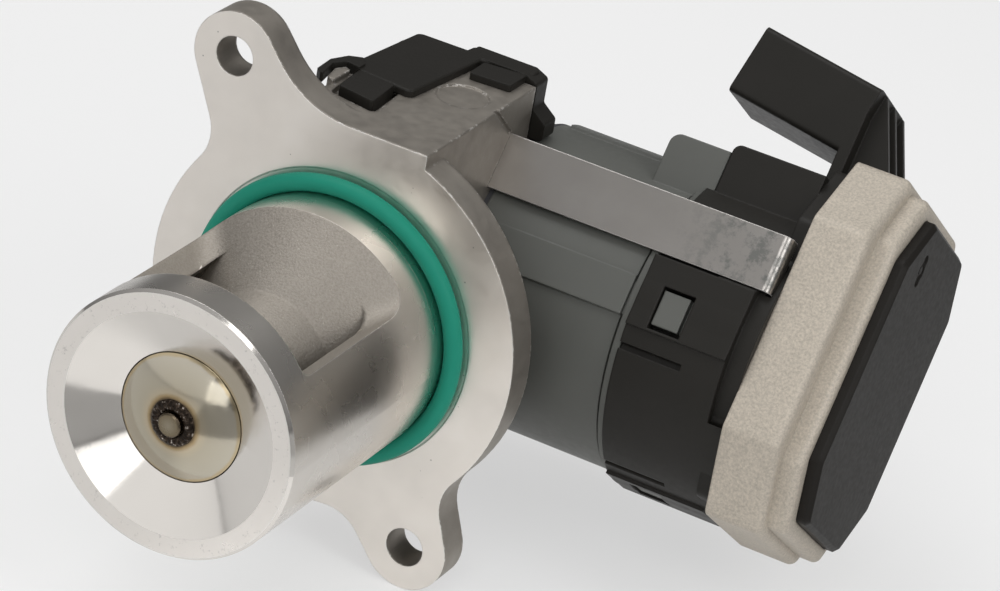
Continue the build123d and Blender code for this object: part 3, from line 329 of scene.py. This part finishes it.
def barrel_alloy():
    """The barrel's turned side, with soft reflections, fine lines round it and a painted highlight along the
    lip of the ring's groove.
    """
    f = Finish("barrel_alloy", (0.72, 0.70, 0.665), 1.0, 0.27, Anisotropic=0.35)
    f.rounded_edges(sizes().machined_edge)
    f.turned()
    y = f.axes()[1]
    haze = f.noise(12, 3, stretch=(1, 2, 1))
    tone = f.ramp(haze, (0.3, (0.67, 0.635, 0.585)), (0.75, (0.76, 0.725, 0.68)))
    # Painted highlight: a bright line painted along the lip of the ring's groove; worn holds the rubbed
    # edges and this painted highlight, and also raises the bump there
    away = f.math("ABSOLUTE", f.math("SUBTRACT", y, GROOVE_EDGE * MM))
    lip_highlight = f.math("SUBTRACT", 1.0, f.math("MINIMUM", f.math("MULTIPLY", away, 1 / (GROOVE_HIGHLIGHT * MM)), 1.0))
    worn = f.math("MAXIMUM", f.worn_edges(1.0, 0.7), lip_highlight)
    f.set(Base_Color=f.mix(worn, tone, (0.92, 0.88, 0.83)),
          Roughness=f.ramp(f.noise(7, 2), (0.3, 0.26), (0.75, 0.30)))
    f.bump((f.line_noise(y, 0.15), 0.06, 0.01), (worn, 0.3, 0.10))
    return f.material


def sand_cast_alloy():
    """As-cast throat behind the barrel's window: fine sand grain with a few bright grains."""
    f = Finish("sand_cast_alloy", (0.36, 0.335, 0.305), 0.70, 0.60)
    f.rounded_edges(sizes().casting_edge)
    grain = f.noise(0.38, 4, roughness=0.6)
    bright = f.ramp(f.noise(0.34, 3), (0.67, 0.0), (0.74, 1.0))
    tone = f.mix(f.noise(6, 3), (0.275, 0.25, 0.215), (0.36, 0.33, 0.29))
    shade = f.mix(f.ramp(grain, (0.35, 0.0), (0.7, 0.85)), tone, (0.45, 0.41, 0.365))
    f.set(Base_Color=f.mix(bright, shade, (0.56, 0.52, 0.47)),
          Roughness=f.ramp(grain, (0.3, 0.44), (0.75, 0.66)))
    f.bump((f.noise(2.2, 3), 0.10, 0.15), (grain, 0.85, 0.15))
    return f.material


def cast_alloy():
    """Die-cast skin of the block, the drum and the flange's edge, rubbed bright along its edges."""
    f = Finish("cast_alloy", (0.46, 0.435, 0.405), 0.80, 0.50)
    f.rounded_edges(sizes().casting_edge)
    grain = f.noise(0.6, 5)
    worn = f.worn_edges(1.1, 0.35)
    tone = f.mix(f.noise(8, 5), (0.27, 0.245, 0.215), (0.39, 0.36, 0.32))
    f.set(Base_Color=f.mix(worn, tone, (0.78, 0.75, 0.71)),
          Roughness=f.ramp(f.noise(2.5, 5), (0.3, 0.42), (0.75, 0.60)))
    f.bump((f.noise(4, 3), 0.10, 0.15), (grain, 0.22, 0.08), (worn, 0.5, 0.15))
    return f.material


def blasted_alloy():
    """Grainy cast skin of the end cover, with pale grains."""
    light = tuple(colours().end_cover)
    f = Finish("blasted_alloy", light, 0.20, 0.60)
    f.rounded_edges(0.6 * sizes().casting_edge)
    grain = f.noise(0.42, 3, roughness=0.65)
    tone = f.mix(f.noise(6, 6), shaded(light, 0.91), shaded(light, 1.04))
    speckle = f.ramp(grain, (0.34, 0.80), (0.52, 1.0), (0.66, 1.16))
    f.set(Base_Color=f.mix(1.0, tone, speckle, "MULTIPLY"),
          Roughness=f.ramp(grain, (0.35, 0.48), (0.7, 0.64)))
    f.bump((grain, 0.42, 0.08), (f.noise(3, 4), 0.12, 0.10))
    return f.material


# Where the strap's darker, mottled stretch sets in along X, in metres
STRAP_DARKENING = (44 * MM, 58 * MM)


def strap_steel():
    """Steel strip, darker and mottled along its far half, with a few scratches and pale edges."""
    f = Finish("strap_steel", (0.54, 0.52, 0.495), 1.0, 0.34)
    f.rounded_edges(0.7 * sizes().machined_edge)
    mottle = f.ramp(f.noise(2.6, 8, roughness=0.72), (0.47, 0.0), (0.60, 1.0))
    # Darker and mottled towards +X, and rougher there
    far_darkening = f.math("MULTIPLY", f.graded(f.axes()[0], STRAP_DARKENING, (0.0, 1.0)), mottle)
    clean = f.mix(f.noise(9, 3), (0.34, 0.32, 0.30), (0.42, 0.40, 0.38))
    worn = f.worn_edges(4, 1.6)
    f.set(Base_Color=f.mix(worn, f.mix(far_darkening, clean, (0.19, 0.19, 0.18)), (0.72, 0.69, 0.66)),
          Metallic=f.math("SUBTRACT", 1.0, worn),
          Roughness=f.mix(far_darkening, (0.30, 0.30, 0.30), (0.42, 0.42, 0.42)))
    along = f.noise(0.12, 3, stretch=(80, 1, 1))
    across = f.noise(0.5, 2, stretch=(1, 1, 14), turn=(radians(-20), 0, 0))
    f.bump((along, 0.08, 0.02), (f.ramp(across, (0.70, 0.0), (0.74, 1.0)), 0.15, 0.03))
    return f.material


def heat_tinted_steel():
    """Polished poppet, gold and brown round the weld and at its rim."""
    f = Finish("heat_tinted_steel", (0.66, 0.60, 0.52), 1.0, 0.14, Anisotropic=0.4)
    f.rounded_edges(0.5 * sizes().machined_edge)
    f.turned()
    radius = f.radius()
    outward = f.math("MULTIPLY", radius, 1 / (DISC_R * MM))
    tint = f.ramp(f.math("ADD", outward, f.math("MULTIPLY", f.noise(3, 3), 0.06)),
                  (0.40, (0.15, 0.11, 0.065)), (0.44, (0.40, 0.30, 0.17)), (0.49, (0.52, 0.45, 0.33)),
                  (0.60, (0.485, 0.44, 0.345)), (0.97, (0.53, 0.49, 0.405)), (1.01, (0.52, 0.43, 0.28)))
    f.set(Base_Color=tint, Roughness=f.ramp(f.noise(1.5, 5), (0.3, 0.09), (0.7, 0.16)))
    f.bump((f.line_noise(radius, 0.10), 0.05, 0.008), (f.noise(2.5, 3), 0.03, 0.03))
    return f.material


def stem_steel():
    """Ground stem, its end browned by the weld."""
    f = Finish("stem_steel", (0.40, 0.35, 0.27), 1.0, 0.28)
    f.rounded_edges(0.5 * sizes().machined_edge)
    radius = f.radius()
    browned = f.ramp(f.math("MULTIPLY", radius, 1 / (STEM_R * MM)),
                     (0.1, (0.31, 0.27, 0.20)), (0.55, (0.22, 0.18, 0.12)), (0.74, (0.08, 0.06, 0.045)))
    f.set(Base_Color=browned, Roughness=f.ramp(f.noise(0.8, 5), (0.3, 0.22), (0.7, 0.36)))
    f.bump((f.line_noise(radius, 0.25), 0.20, 0.02))
    return f.material


def weld_steel():
    """Oxidised weld, nearly black with bright scale."""
    f = Finish("weld_steel", (0.10, 0.07, 0.06), 0.9, 0.34)
    f.set(Base_Color=f.ramp(f.noise(0.7, 5), (0.45, (0.022, 0.016, 0.012)), (0.60, (0.070, 0.050, 0.036)),
                            (0.70, (0.60, 0.55, 0.50))),
          Roughness=f.ramp(f.noise(0.6, 4), (0.3, 0.20), (0.7, 0.50)))
    f.bump((f.noise(0.4, 4), 0.5, 0.08))
    return f.material


def seal_rubber():
    """Teal seal, flat and matte."""
    teal = tuple(colours().seal)
    f = Finish("seal_rubber", teal, 0.0, 0.52, Specular_IOR_Level=0.25)
    f.set(Base_Color=f.mix(f.noise(4, 4), shaded(teal, 0.95), shaded(teal, 1.05)),
          Roughness=f.ramp(f.noise(1.2, 5), (0.3, 0.48), (0.75, 0.60)))
    f.bump((f.noise(0.6, 4), 0.08, 0.05))
    return f.material


def grey_plastic():
    """Slate-grey glass-filled moulding."""
    slate = tuple(colours().housing)
    f = Finish("grey_plastic", slate, 0.0, 0.46, Specular_IOR_Level=0.45)
    f.rounded_edges(sizes().moulding_edge)
    f.set(Base_Color=f.mix(f.noise(14, 4), shaded(slate, 0.93), shaded(slate, 1.07)),
          Roughness=f.ramp(f.noise(1.5, 6), (0.3, 0.40), (0.75, 0.52)))
    f.bump((f.noise(0.35, 4), 0.08, 0.03), (f.noise(5, 3), 0.03, 0.10))
    return f.material


def black_plastic():
    """Black glass-filled moulding."""
    f = Finish("black_plastic", (0.020, 0.0185, 0.0165), 0.0, 0.46, Specular_IOR_Level=0.21)
    f.rounded_edges(sizes().moulding_edge)
    f.set(Base_Color=f.mix(f.noise(10, 4), (0.0155, 0.0145, 0.0120), (0.0205, 0.0185, 0.0160)),
          Roughness=f.ramp(f.noise(1.2, 6), (0.3, 0.40), (0.75, 0.52)))
    f.bump((f.noise(0.30, 4), 0.07, 0.03))
    return f.material


def plate_plastic():
    """Black end plate, a little warmer and deeper, with a faint moulding texture."""
    f = Finish("plate_plastic", (0.018, 0.016, 0.0145), 0.0, 0.44, Specular_IOR_Level=0.16)
    f.rounded_edges(sizes().moulding_edge)
    f.set(Base_Color=f.mix(f.noise(12, 4), (0.0125, 0.0110, 0.0092), (0.0175, 0.0152, 0.0130)),
          Roughness=f.ramp(f.noise(1.0, 6), (0.3, 0.40), (0.75, 0.50)))
    f.bump((f.noise(0.22, 4), 0.07, 0.02))
    return f.material


def inner_finish(name, metallic, grain, dark, light, smoothest, roughest):
    """Finish of an inner piece; grain is the size in millimetres, the detail and the depth of its bumps."""
    size, detail, depth = grain
    f = Finish(name, light, metallic, smoothest)
    f.set(Base_Color=f.mix(f.noise(3, 5), dark, light),
          Roughness=f.ramp(f.noise(1.2, 5), (0.3, smoothest), (0.75, roughest)))
    f.bump((f.noise(size, detail), 0.08, depth))
    return f.material


def shaded(colour, share):
    """The colour made lighter or darker by a share."""
    return tuple(share * part for part in colour)


METAL_GRAIN = (0.15, 3, 0.02)
MOULDING_GRAIN = (0.4, 4, 0.03)

# Darkest and lightest colour, and lowest and highest roughness, of the inner metals and the inner mouldings
INNER_METALS = {
    "machined_steel": ((0.50, 0.49, 0.48), (0.66, 0.65, 0.63), 0.22, 0.36),
    "bearing_bronze": ((0.48, 0.31, 0.14), (0.62, 0.43, 0.20), 0.32, 0.46),
    "laminations": ((0.22, 0.22, 0.23), (0.34, 0.34, 0.36), 0.36, 0.52),
    "copper_winding": ((0.45, 0.17, 0.07), (0.68, 0.30, 0.14), 0.28, 0.42),
    "magnet_ferrite": ((0.07, 0.07, 0.08), (0.12, 0.12, 0.13), 0.42, 0.6),
    "tinned_blade": ((0.66, 0.65, 0.62), (0.78, 0.77, 0.75), 0.2, 0.3),
}
INNER_MOULDINGS = {
    "gear_nylon": ((0.60, 0.57, 0.48), (0.72, 0.69, 0.60), 0.38, 0.5),
    "board_green": ((0.01, 0.09, 0.04), (0.02, 0.16, 0.07), 0.3, 0.42),
    "gasket_fibre": ((0.03, 0.03, 0.035), (0.06, 0.06, 0.065), 0.6, 0.8),
}
MAKERS = {maker.__name__: maker for maker in (
    milled_alloy, faced_alloy, turned_alloy, barrel_alloy, sand_cast_alloy, cast_alloy, blasted_alloy,
    strap_steel, heat_tinted_steel, stem_steel, weld_steel, seal_rubber, grey_plastic, black_plastic,
    plate_plastic)}
for name, look in INNER_METALS.items():
    MAKERS[name] = partial(inner_finish, name, 1.0, METAL_GRAIN, *look)
for name, look in INNER_MOULDINGS.items():
    MAKERS[name] = partial(inner_finish, name, 0.0, MOULDING_GRAIN, *look)

finishes = {}


def finish(name):
    """Material of a finish; each is made once and shared."""
    if name not in finishes:
        finishes[name] = MAKERS[name]()
    return finishes[name]


# Settings that a user would change
class ValveSizes(bpy.types.PropertyGroup):
    """Small sizes of the finish that the frame doesn't hold."""
    machined_edge: bpy.props.FloatProperty(
        name="Machined edge", description="Rounding of machined edges", default=0.35 * MM, min=0,
        unit="LENGTH")
    casting_edge: bpy.props.FloatProperty(
        name="Casting edge", description="Rounding of cast edges", default=0.8 * MM, min=0, unit="LENGTH")
    moulding_edge: bpy.props.FloatProperty(
        name="Moulding edge", description="Rounding of the mouldings' edges", default=0.4 * MM, min=0,
        unit="LENGTH")
    bead_rise: bpy.props.FloatProperty(
        name="Bead rise", description="Height of the weld bead over the disc", default=0.66 * MM, min=0,
        unit="LENGTH")
    bead_ripple: bpy.props.FloatProperty(
        name="Bead ripple", description="Share of the bead's height that its ripples take", default=0.24,
        min=0, max=1, subtype="FACTOR")


class ValveColours(bpy.types.PropertyGroup):
    """Colours of the finishes that differ most from one valve to another, and of the floor."""
    seal: bpy.props.FloatVectorProperty(
        name="Seal", description="Colour of the flange's sealing ring", default=(0.010, 0.262, 0.178),
        subtype="COLOR")
    housing: bpy.props.FloatVectorProperty(
        name="Housing", description="Colour of the motor housing", default=(0.108, 0.111, 0.101),
        subtype="COLOR")
    end_cover: bpy.props.FloatVectorProperty(
        name="End cover", description="Colour of the cast end cover", default=(0.53, 0.475, 0.40),
        subtype="COLOR")
    floor: bpy.props.FloatVectorProperty(
        name="Floor", description="Colour of the floor", default=(0.86, 0.86, 0.86), subtype="COLOR")


def sizes():
    """The sizes that a user has set."""
    return bpy.context.scene.valve_sizes


def colours():
    """The colours that a user has set."""
    return bpy.context.scene.valve_colours


CASTING_FINISHES = (
    "cast_alloy", "milled_alloy", "turned_alloy", "barrel_alloy", "sand_cast_alloy", "faced_alloy")
CAST, MILLED, TURNED, BARREL, SAND_CAST, FACED = range(len(CASTING_FINISHES))

# How far a facet's centre may lie from the surface that it stands for, in millimetres: from a flat one, and
# inside a round one
FLAT_SLACK = 0.3
ROUND_SLACK = 0.6
# Where the cone of the mouth starts, and where the turned foot of the barrel starts beside its groove
CONE_START = WINDOW_FRONT - 2
FOOT_START = -7.0


def casting_finish(centre, normal):
    """Number in CASTING_FINISHES of the finish that a face of the casting takes."""
    x, y, z = centre
    radius = hypot(x, z)
    outward = (x * normal.x + z * normal.z) / max(radius, 0.1)
    on_barrel = radius > BARREL_R - ROUND_SLACK
    if y > FLAT_SLACK:
        return CAST
    if radius > BARREL_R + FLAT_SLACK or (y > -FLAT_SLACK and on_barrel):
        return MILLED
    if y < BARREL_END + FLAT_SLACK and normal.y < -0.9:
        return FACED
    if y < CONE_START and normal.y < -0.25 and radius > DISC_R - ROUND_SLACK:
        return TURNED
    if on_barrel and (outward > 0.9 or y > FOOT_START):
        return BARREL
    if abs(radius - CHAMBER_R) < FLAT_SLACK and abs(normal.y) < 0.2:
        return BARREL
    return SAND_CAST


class VALVE_OT_casting(bpy.types.Operator):
    """Finishes the casting: milled flange, turned barrel and mouth, sand-cast throat, cast block and drum"""
    bl_idname = "valve.casting"
    bl_label = "Casting"

    def execute(self, context):
        piece = frame["nodes"]["valve_body"]
        paint(piece, [finish(name) for name in CASTING_FINISHES], casting_finish)
        smooth(piece)
        return {"FINISHED"}


# The bead's foot, in millimetres: it lies on the disc's dome between the stem and the bead's outer edge
BEAD_R = (2.12, 4.16)
BEAD_FOOT = (-50.37, -50.09)
BEAD_SUNK = 0.04
BEAD_WANDER = 0.22
BEAD_PASSES = 24
BEAD_STEPS = 240
BEAD_ACROSS = 16
# How full the bead's crown is (less is fuller), how far its ripples lean back and drift, how much lower its
# uneven stretches lie, and how closely those follow one another
BEAD_CROWN = 0.62
BEAD_LEAN = 2.2
BEAD_DRIFT = 2.0
BEAD_LOW = 0.14
BEAD_PATCHES = 3.1


def weld_bead():
    """Bead round the stem's end, with a ripple for each pass and an uneven outer edge."""
    rise = sizes().bead_rise / MM
    ripple = sizes().bead_ripple
    points = []
    for i in range(BEAD_STEPS):
        turn = 2 * pi * i / BEAD_STEPS
        way = Vector((cos(turn), sin(turn), 0.0))
        uneven = 0.5 + 0.5 * noise.noise(way * BEAD_PATCHES)
        outer = BEAD_R[1] - BEAD_WANDER * uneven
        section = []
        for k in range(BEAD_ACROSS + 1):
            t = k / BEAD_ACROSS
            crown = sin(pi * t) ** BEAD_CROWN
            chevron = 0.5 + 0.5 * sin(BEAD_PASSES * turn + BEAD_LEAN * crown + BEAD_DRIFT * uneven)
            foot = BEAD_FOOT[0] + (BEAD_FOOT[1] - BEAD_FOOT[0]) * t
            height = foot - rise * crown * (1 - ripple * chevron - BEAD_LOW * uneven)
            section.append((BEAD_R[0] + (outer - BEAD_R[0]) * t, height))
        section += [(outer, BEAD_FOOT[1] + BEAD_SUNK), (BEAD_R[0], BEAD_FOOT[0] + BEAD_SUNK)]
        points += [Vector((radius * way.x, height, radius * way.y)) * MM for radius, height in section]
    piece = mesh_object("weld_bead", points, swept_faces(BEAD_STEPS, len(section), True))
    piece.data.materials.append(finish("weld_steel"))
    piece.data.shade_smooth()
    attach(piece, "valve")
    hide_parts("stem_weld")


class VALVE_OT_poppet(bpy.types.Operator):
    """Finishes the disc and the stem, and lays the weld bead between them"""
    bl_idname = "valve.poppet"
    bl_label = "Poppet"

    def execute(self, context):
        finish_nodes({"valve_disc": "heat_tinted_steel", "valve_stem": "stem_steel"})
        weld_bead()
        return {"FINISHED"}


class VALVE_OT_seals(bpy.types.Operator):
    """Finishes the flange's sealing ring, the stem seal and the gasket"""
    bl_idname = "valve.seals"
    bl_label = "Seals"

    def execute(self, context):
        finish_nodes({"flange_o_ring": "seal_rubber", "stem_seal": "gasket_fibre",
                      "housing_gasket": "gasket_fibre"})
        return {"FINISHED"}


class VALVE_OT_clamp_strap(bpy.types.Operator):
    """Finishes the steel strap that holds the housing to the casting"""
    bl_idname = "valve.clamp_strap"
    bl_label = "Clamp strap"

    def execute(self, context):
        finish_nodes({"clamp_strap": "strap_steel"})
        return {"FINISHED"}


class VALVE_OT_mouldings(bpy.types.Operator):
    """Finishes the top cap, the motor housing and the connector carrier"""
    bl_idname = "valve.mouldings"
    bl_label = "Mouldings"

    def execute(self, context):
        finish_nodes({"top_cap": "black_plastic", "motor_housing": "grey_plastic",
                      "connector_carrier": "black_plastic"})
        return {"FINISHED"}


class VALVE_OT_cover(bpy.types.Operator):
    """Finishes the cast end cover, its screws and the black plate on it"""
    bl_idname = "valve.cover"
    bl_label = "End cover"

    def execute(self, context):
        finish_nodes({"end_cover": "blasted_alloy", "end_plate": "plate_plastic",
                      "cover_screws": "machined_steel"})
        return {"FINISHED"}


# The return spring's wire, in millimetres, its turns, and how finely they are made
COIL_WIRE_R = 0.95
COIL_TURNS = 5
COIL_STEPS = 60
COIL_ROUND = 14


def return_coil():
    """The return spring, wound in the box of the CAD one."""
    low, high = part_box("return_spring")
    seat, top = low[1] / MM, high[1] / MM
    coil_r = high[0] / MM - COIL_WIRE_R
    rise = top - seat - 2 * COIL_WIRE_R
    count = COIL_TURNS * COIL_STEPS
    points = []
    for i in range(count + 1):
        turn = 2 * pi * i / COIL_STEPS
        for k in range(COIL_ROUND):
            round_wire = 2 * pi * k / COIL_ROUND
            radius = coil_r + COIL_WIRE_R * cos(round_wire)
            height = seat + COIL_WIRE_R + rise * i / count + COIL_WIRE_R * sin(round_wire)
            points.append(Vector((radius * cos(turn), height, radius * sin(turn))) * MM)
    piece = mesh_object("return_coil", points, swept_faces(count + 1, COIL_ROUND, False))
    piece.data.materials.append(finish("machined_steel"))
    smooth(piece, 50.0)
    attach(piece, "housing")
    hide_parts("return_spring")
    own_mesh(piece)


class VALVE_OT_lift(bpy.types.Operator):
    """Finishes the guide, the yoke and the crank that lift the poppet, and winds the return spring"""
    bl_idname = "valve.lift"
    bl_label = "Lift"

    def execute(self, context):
        finish_nodes({"stem_bush": "bearing_bronze", "crank_bush": "bearing_bronze",
                      "spring_retainer": "machined_steel", "yoke": "machined_steel",
                      "crankshaft": "machined_steel", "crank_roller": "machined_steel"})
        return_coil()
        return {"FINISHED"}


class VALVE_OT_gears(bpy.types.Operator):
    """Finishes the two gear stages and their pin"""
    bl_idname = "valve.gears"
    bl_label = "Gears"

    def execute(self, context):
        finish_nodes({"output_gear": "machined_steel", "idler_gear": "gear_nylon",
                      "idler_pin": "machined_steel", "motor_pinion": "machined_steel"})
        return {"FINISHED"}


class VALVE_OT_motor(bpy.types.Operator):
    """Finishes the motor, its bearings and its magnets"""
    bl_idname = "valve.motor"
    bl_label = "Motor"

    def execute(self, context):
        finish_nodes({"motor_front_plate": "cast_alloy", "motor_can": "machined_steel",
                      "stator_stack": "laminations", "stator_coils": "copper_winding",
                      "motor_rotor": "magnet_ferrite", "rotor_bearings": "machined_steel",
                      "sensor_magnet": "magnet_ferrite"})
        return {"FINISHED"}


class VALVE_OT_electronics(bpy.types.Operator):
    """Finishes the circuit board and the plug's blades"""
    bl_idname = "valve.electronics"
    bl_label = "Electronics"

    def execute(self, context):
        finish_nodes({"circuit_board": "board_green", "terminal_pins": "tinned_blade"})
        return {"FINISHED"}


# Stage: camera where the photograph was taken from, soft lamps, pale floor; lengths in metres
CAMERA_AT = (0.2923, -0.6072, 0.3447)
CAMERA_AXES = ((0.87118, 0.46376, 0.16113), (-0.33901, 0.33083, 0.88070), (0.35512, -0.82187, 0.44543))
LENS = 162.6

# The sky's strength low and high, over the rise of its direction, and the share left behind the valve
SKY_LOW = 0.12
SKY_HIGH = 0.46
SKY_RISE = (-0.3, 1.0)
SKY_BEHIND = 0.55
SKY_TURN = (-0.2, 0.8)

# Each lamp's place, size and power; all face the middle of the valve
VALVE_MIDDLE = (0.03, 0.02, 0.0)
LAMPS = {
    "key": ((-0.30, 0.05, 0.90), (0.6, 0.6), 3.2),
    "side": ((0.75, -0.25, 0.45), (0.35, 0.6), 2.2),
    "high_front": ((0.15, -0.75, 0.72), (0.5, 0.35), 1.6),
    "front": ((0.135, -0.932, 0.117), (0.27, 0.27), 0.30),
    "low_left": ((-0.50, -0.87, 0.20), (1.25, 0.43), 1.0),
    "back": ((0.25, 0.50, 0.85), (0.4, 0.4), 0.6),
}

FLOOR_REACH = 3.0
FLOOR_GRAIN = 40
FLOOR_GLOW = 0.55
# Painted reflection, which polished metal sees of the floor and the camera doesn't: edges of a pale sheet,
# and the levels left, in front and right of it
SHEET_LEFT = (-0.022, -0.006)
SHEET_FRONT = (-0.128, -0.122)
SHEET_RIGHT = (0.085, 0.100)
LEVEL_LEFT = 0.60
LEVEL_FRONT = 0.05
LEVEL_RIGHT = 0.40


def pale_surface(colour):
    """Floor that stays pale to the camera, shows polished metal a painted reflection of a pale sheet, and
    still takes the object's shadow.
    """
    f = Finish("pale_floor", colour, 0.0, 0.9)
    f.set(Base_Color=f.mix(f.add("TexNoise", {"Scale": FLOOR_GRAIN}).outputs["Fac"],
                           shaded(colour, 0.99), colour))
    ray = f.add("LightPath").outputs
    x, y, z = f.axes()
    # Painted reflection: glossy rays see the floor glow as a pale sheet with darker levels round it
    beside = f.between(f.graded(x, SHEET_LEFT, (0.0, 1.0)), LEVEL_LEFT,
                       f.graded(y, SHEET_FRONT, (LEVEL_FRONT, 1.0)))
    sheet = f.math("MULTIPLY", beside, f.graded(x, SHEET_RIGHT, (1.0, LEVEL_RIGHT)))
    glow = f.add("Emission", {"Strength": f.between(ray["Is Glossy Ray"], 1.0, sheet)})
    seen = f.math("MAXIMUM", ray["Is Camera Ray"], ray["Is Glossy Ray"])
    surface = f.add("MixShader", {0: f.math("MULTIPLY", seen, FLOOR_GLOW), 1: f.shader.outputs[0],
                                  2: glow.outputs[0]})
    f.put(f.tree.nodes["Material Output"].inputs["Surface"], surface.outputs[0])
    return f.material


def lay_floor(scene):
    """Wide floor under the valve."""
    low = cad_box[0][2]
    corners = [(x * FLOOR_REACH, y * FLOOR_REACH, low) for x, y in ((-1, -1), (1, -1), (1, 1), (-1, 1))]
    mesh = bpy.data.meshes.new("floor")
    mesh.from_pydata(corners, [], [(0, 1, 2, 3)])
    mesh.materials.append(pale_surface(tuple(colours().floor)))
    floor = bpy.data.objects.new("floor", mesh)
    scene.collection.objects.link(floor)


def light_world(scene):
    """Soft sky, brightest overhead and in front, and white to the camera."""
    world = scene.world or bpy.data.worlds.new("studio")
    scene.world = world
    world.use_nodes = True
    sky = Nodes(world.node_tree)
    x, y, z = sky.split(sky.add("TexCoord").outputs["Generated"])
    strength = sky.math("MULTIPLY", sky.graded(z, SKY_RISE, (SKY_LOW, SKY_HIGH), "LINEAR"),
                        sky.graded(y, SKY_TURN, (1.0, SKY_BEHIND), "LINEAR"))
    background = sky.tree.nodes["Background"]
    sky.put(background.inputs["Color"], (1, 1, 1))
    seen = sky.add("LightPath").outputs["Is Camera Ray"]
    sky.put(background.inputs["Strength"], sky.between(seen, strength, 1.0))


def hang_lamp(scene, name, at, size, power):
    """Soft lamp that faces the middle of the valve."""
    light = bpy.data.lights.new(name, "AREA")
    light.shape = "RECTANGLE"
    light.size, light.size_y = size
    light.energy = power
    lamp = bpy.data.objects.new(name, light)
    lamp.location = at
    lamp.rotation_euler = (Vector(VALVE_MIDDLE) - Vector(at)).to_track_quat("-Z", "Y").to_euler()
    scene.collection.objects.link(lamp)


def place_camera(scene):
    """Camera where the photograph was taken from."""
    camera = bpy.data.objects.new("camera", bpy.data.cameras.new("camera"))
    camera.data.sensor_width = 36.0
    camera.data.lens = LENS
    camera.data.clip_start = 0.05
    camera.data.clip_end = 20
    camera.matrix_world = Matrix.Translation(CAMERA_AT) @ Matrix(CAMERA_AXES).transposed().to_4x4()
    scene.collection.objects.link(camera)
    scene.camera = camera


class VALVE_OT_stage(bpy.types.Operator):
    """Sets the floor, the sky, the lamps and the camera"""
    bl_idname = "valve.stage"
    bl_label = "Stage"

    def execute(self, context):
        scene = context.scene
        scene.view_settings.view_transform = "Standard"
        lay_floor(scene)
        light_world(scene)
        for name, (at, size, power) in LAMPS.items():
            hang_lamp(scene, name, at, size, power)
        place_camera(scene)
        return {"FINISHED"}


class VALVE_PT_panel(bpy.types.Panel):
    """Lists the valve's operators and settings"""
    bl_idname = "VALVE_PT_panel"
    bl_label = "Valve"
    bl_space_type = "VIEW_3D"
    bl_region_type = "UI"
    bl_category = "Valve"

    def draw(self, context):
        layout = self.layout
        for operator in OPERATORS:
            layout.operator(operator.bl_idname)
        for group in (context.scene.valve_sizes, context.scene.valve_colours):
            for name in group.__annotations__:
                layout.prop(group, name)


OPERATORS = (VALVE_OT_casting, VALVE_OT_poppet, VALVE_OT_seals, VALVE_OT_clamp_strap, VALVE_OT_mouldings,
             VALVE_OT_cover, VALVE_OT_lift, VALVE_OT_gears, VALVE_OT_motor, VALVE_OT_electronics,
             VALVE_OT_stage)
CLASSES = (ValveSizes, ValveColours) + OPERATORS + (VALVE_PT_panel,)


def register():
    """Adds the classes and the settings."""
    for cls in CLASSES:
        bpy.utils.register_class(cls)
    bpy.types.Scene.valve_sizes = bpy.props.PointerProperty(type=ValveSizes)
    bpy.types.Scene.valve_colours = bpy.props.PointerProperty(type=ValveColours)


def unregister():
    """Takes the classes and the settings away again."""
    del bpy.types.Scene.valve_colours
    del bpy.types.Scene.valve_sizes
    for cls in reversed(CLASSES):
        bpy.utils.unregister_class(cls)


def main():
    """Dresses the frame by calling every operator in order."""
    register()
    for operator in OPERATORS:
        group, name = operator.bl_idname.split(".")
        result = getattr(getattr(bpy.ops, group), name)()
        if result != {"FINISHED"}:
            raise RuntimeError(operator.bl_idname + " did not finish")
    bpy.context.view_layer.update()


if __name__ == "__main__":
    main()
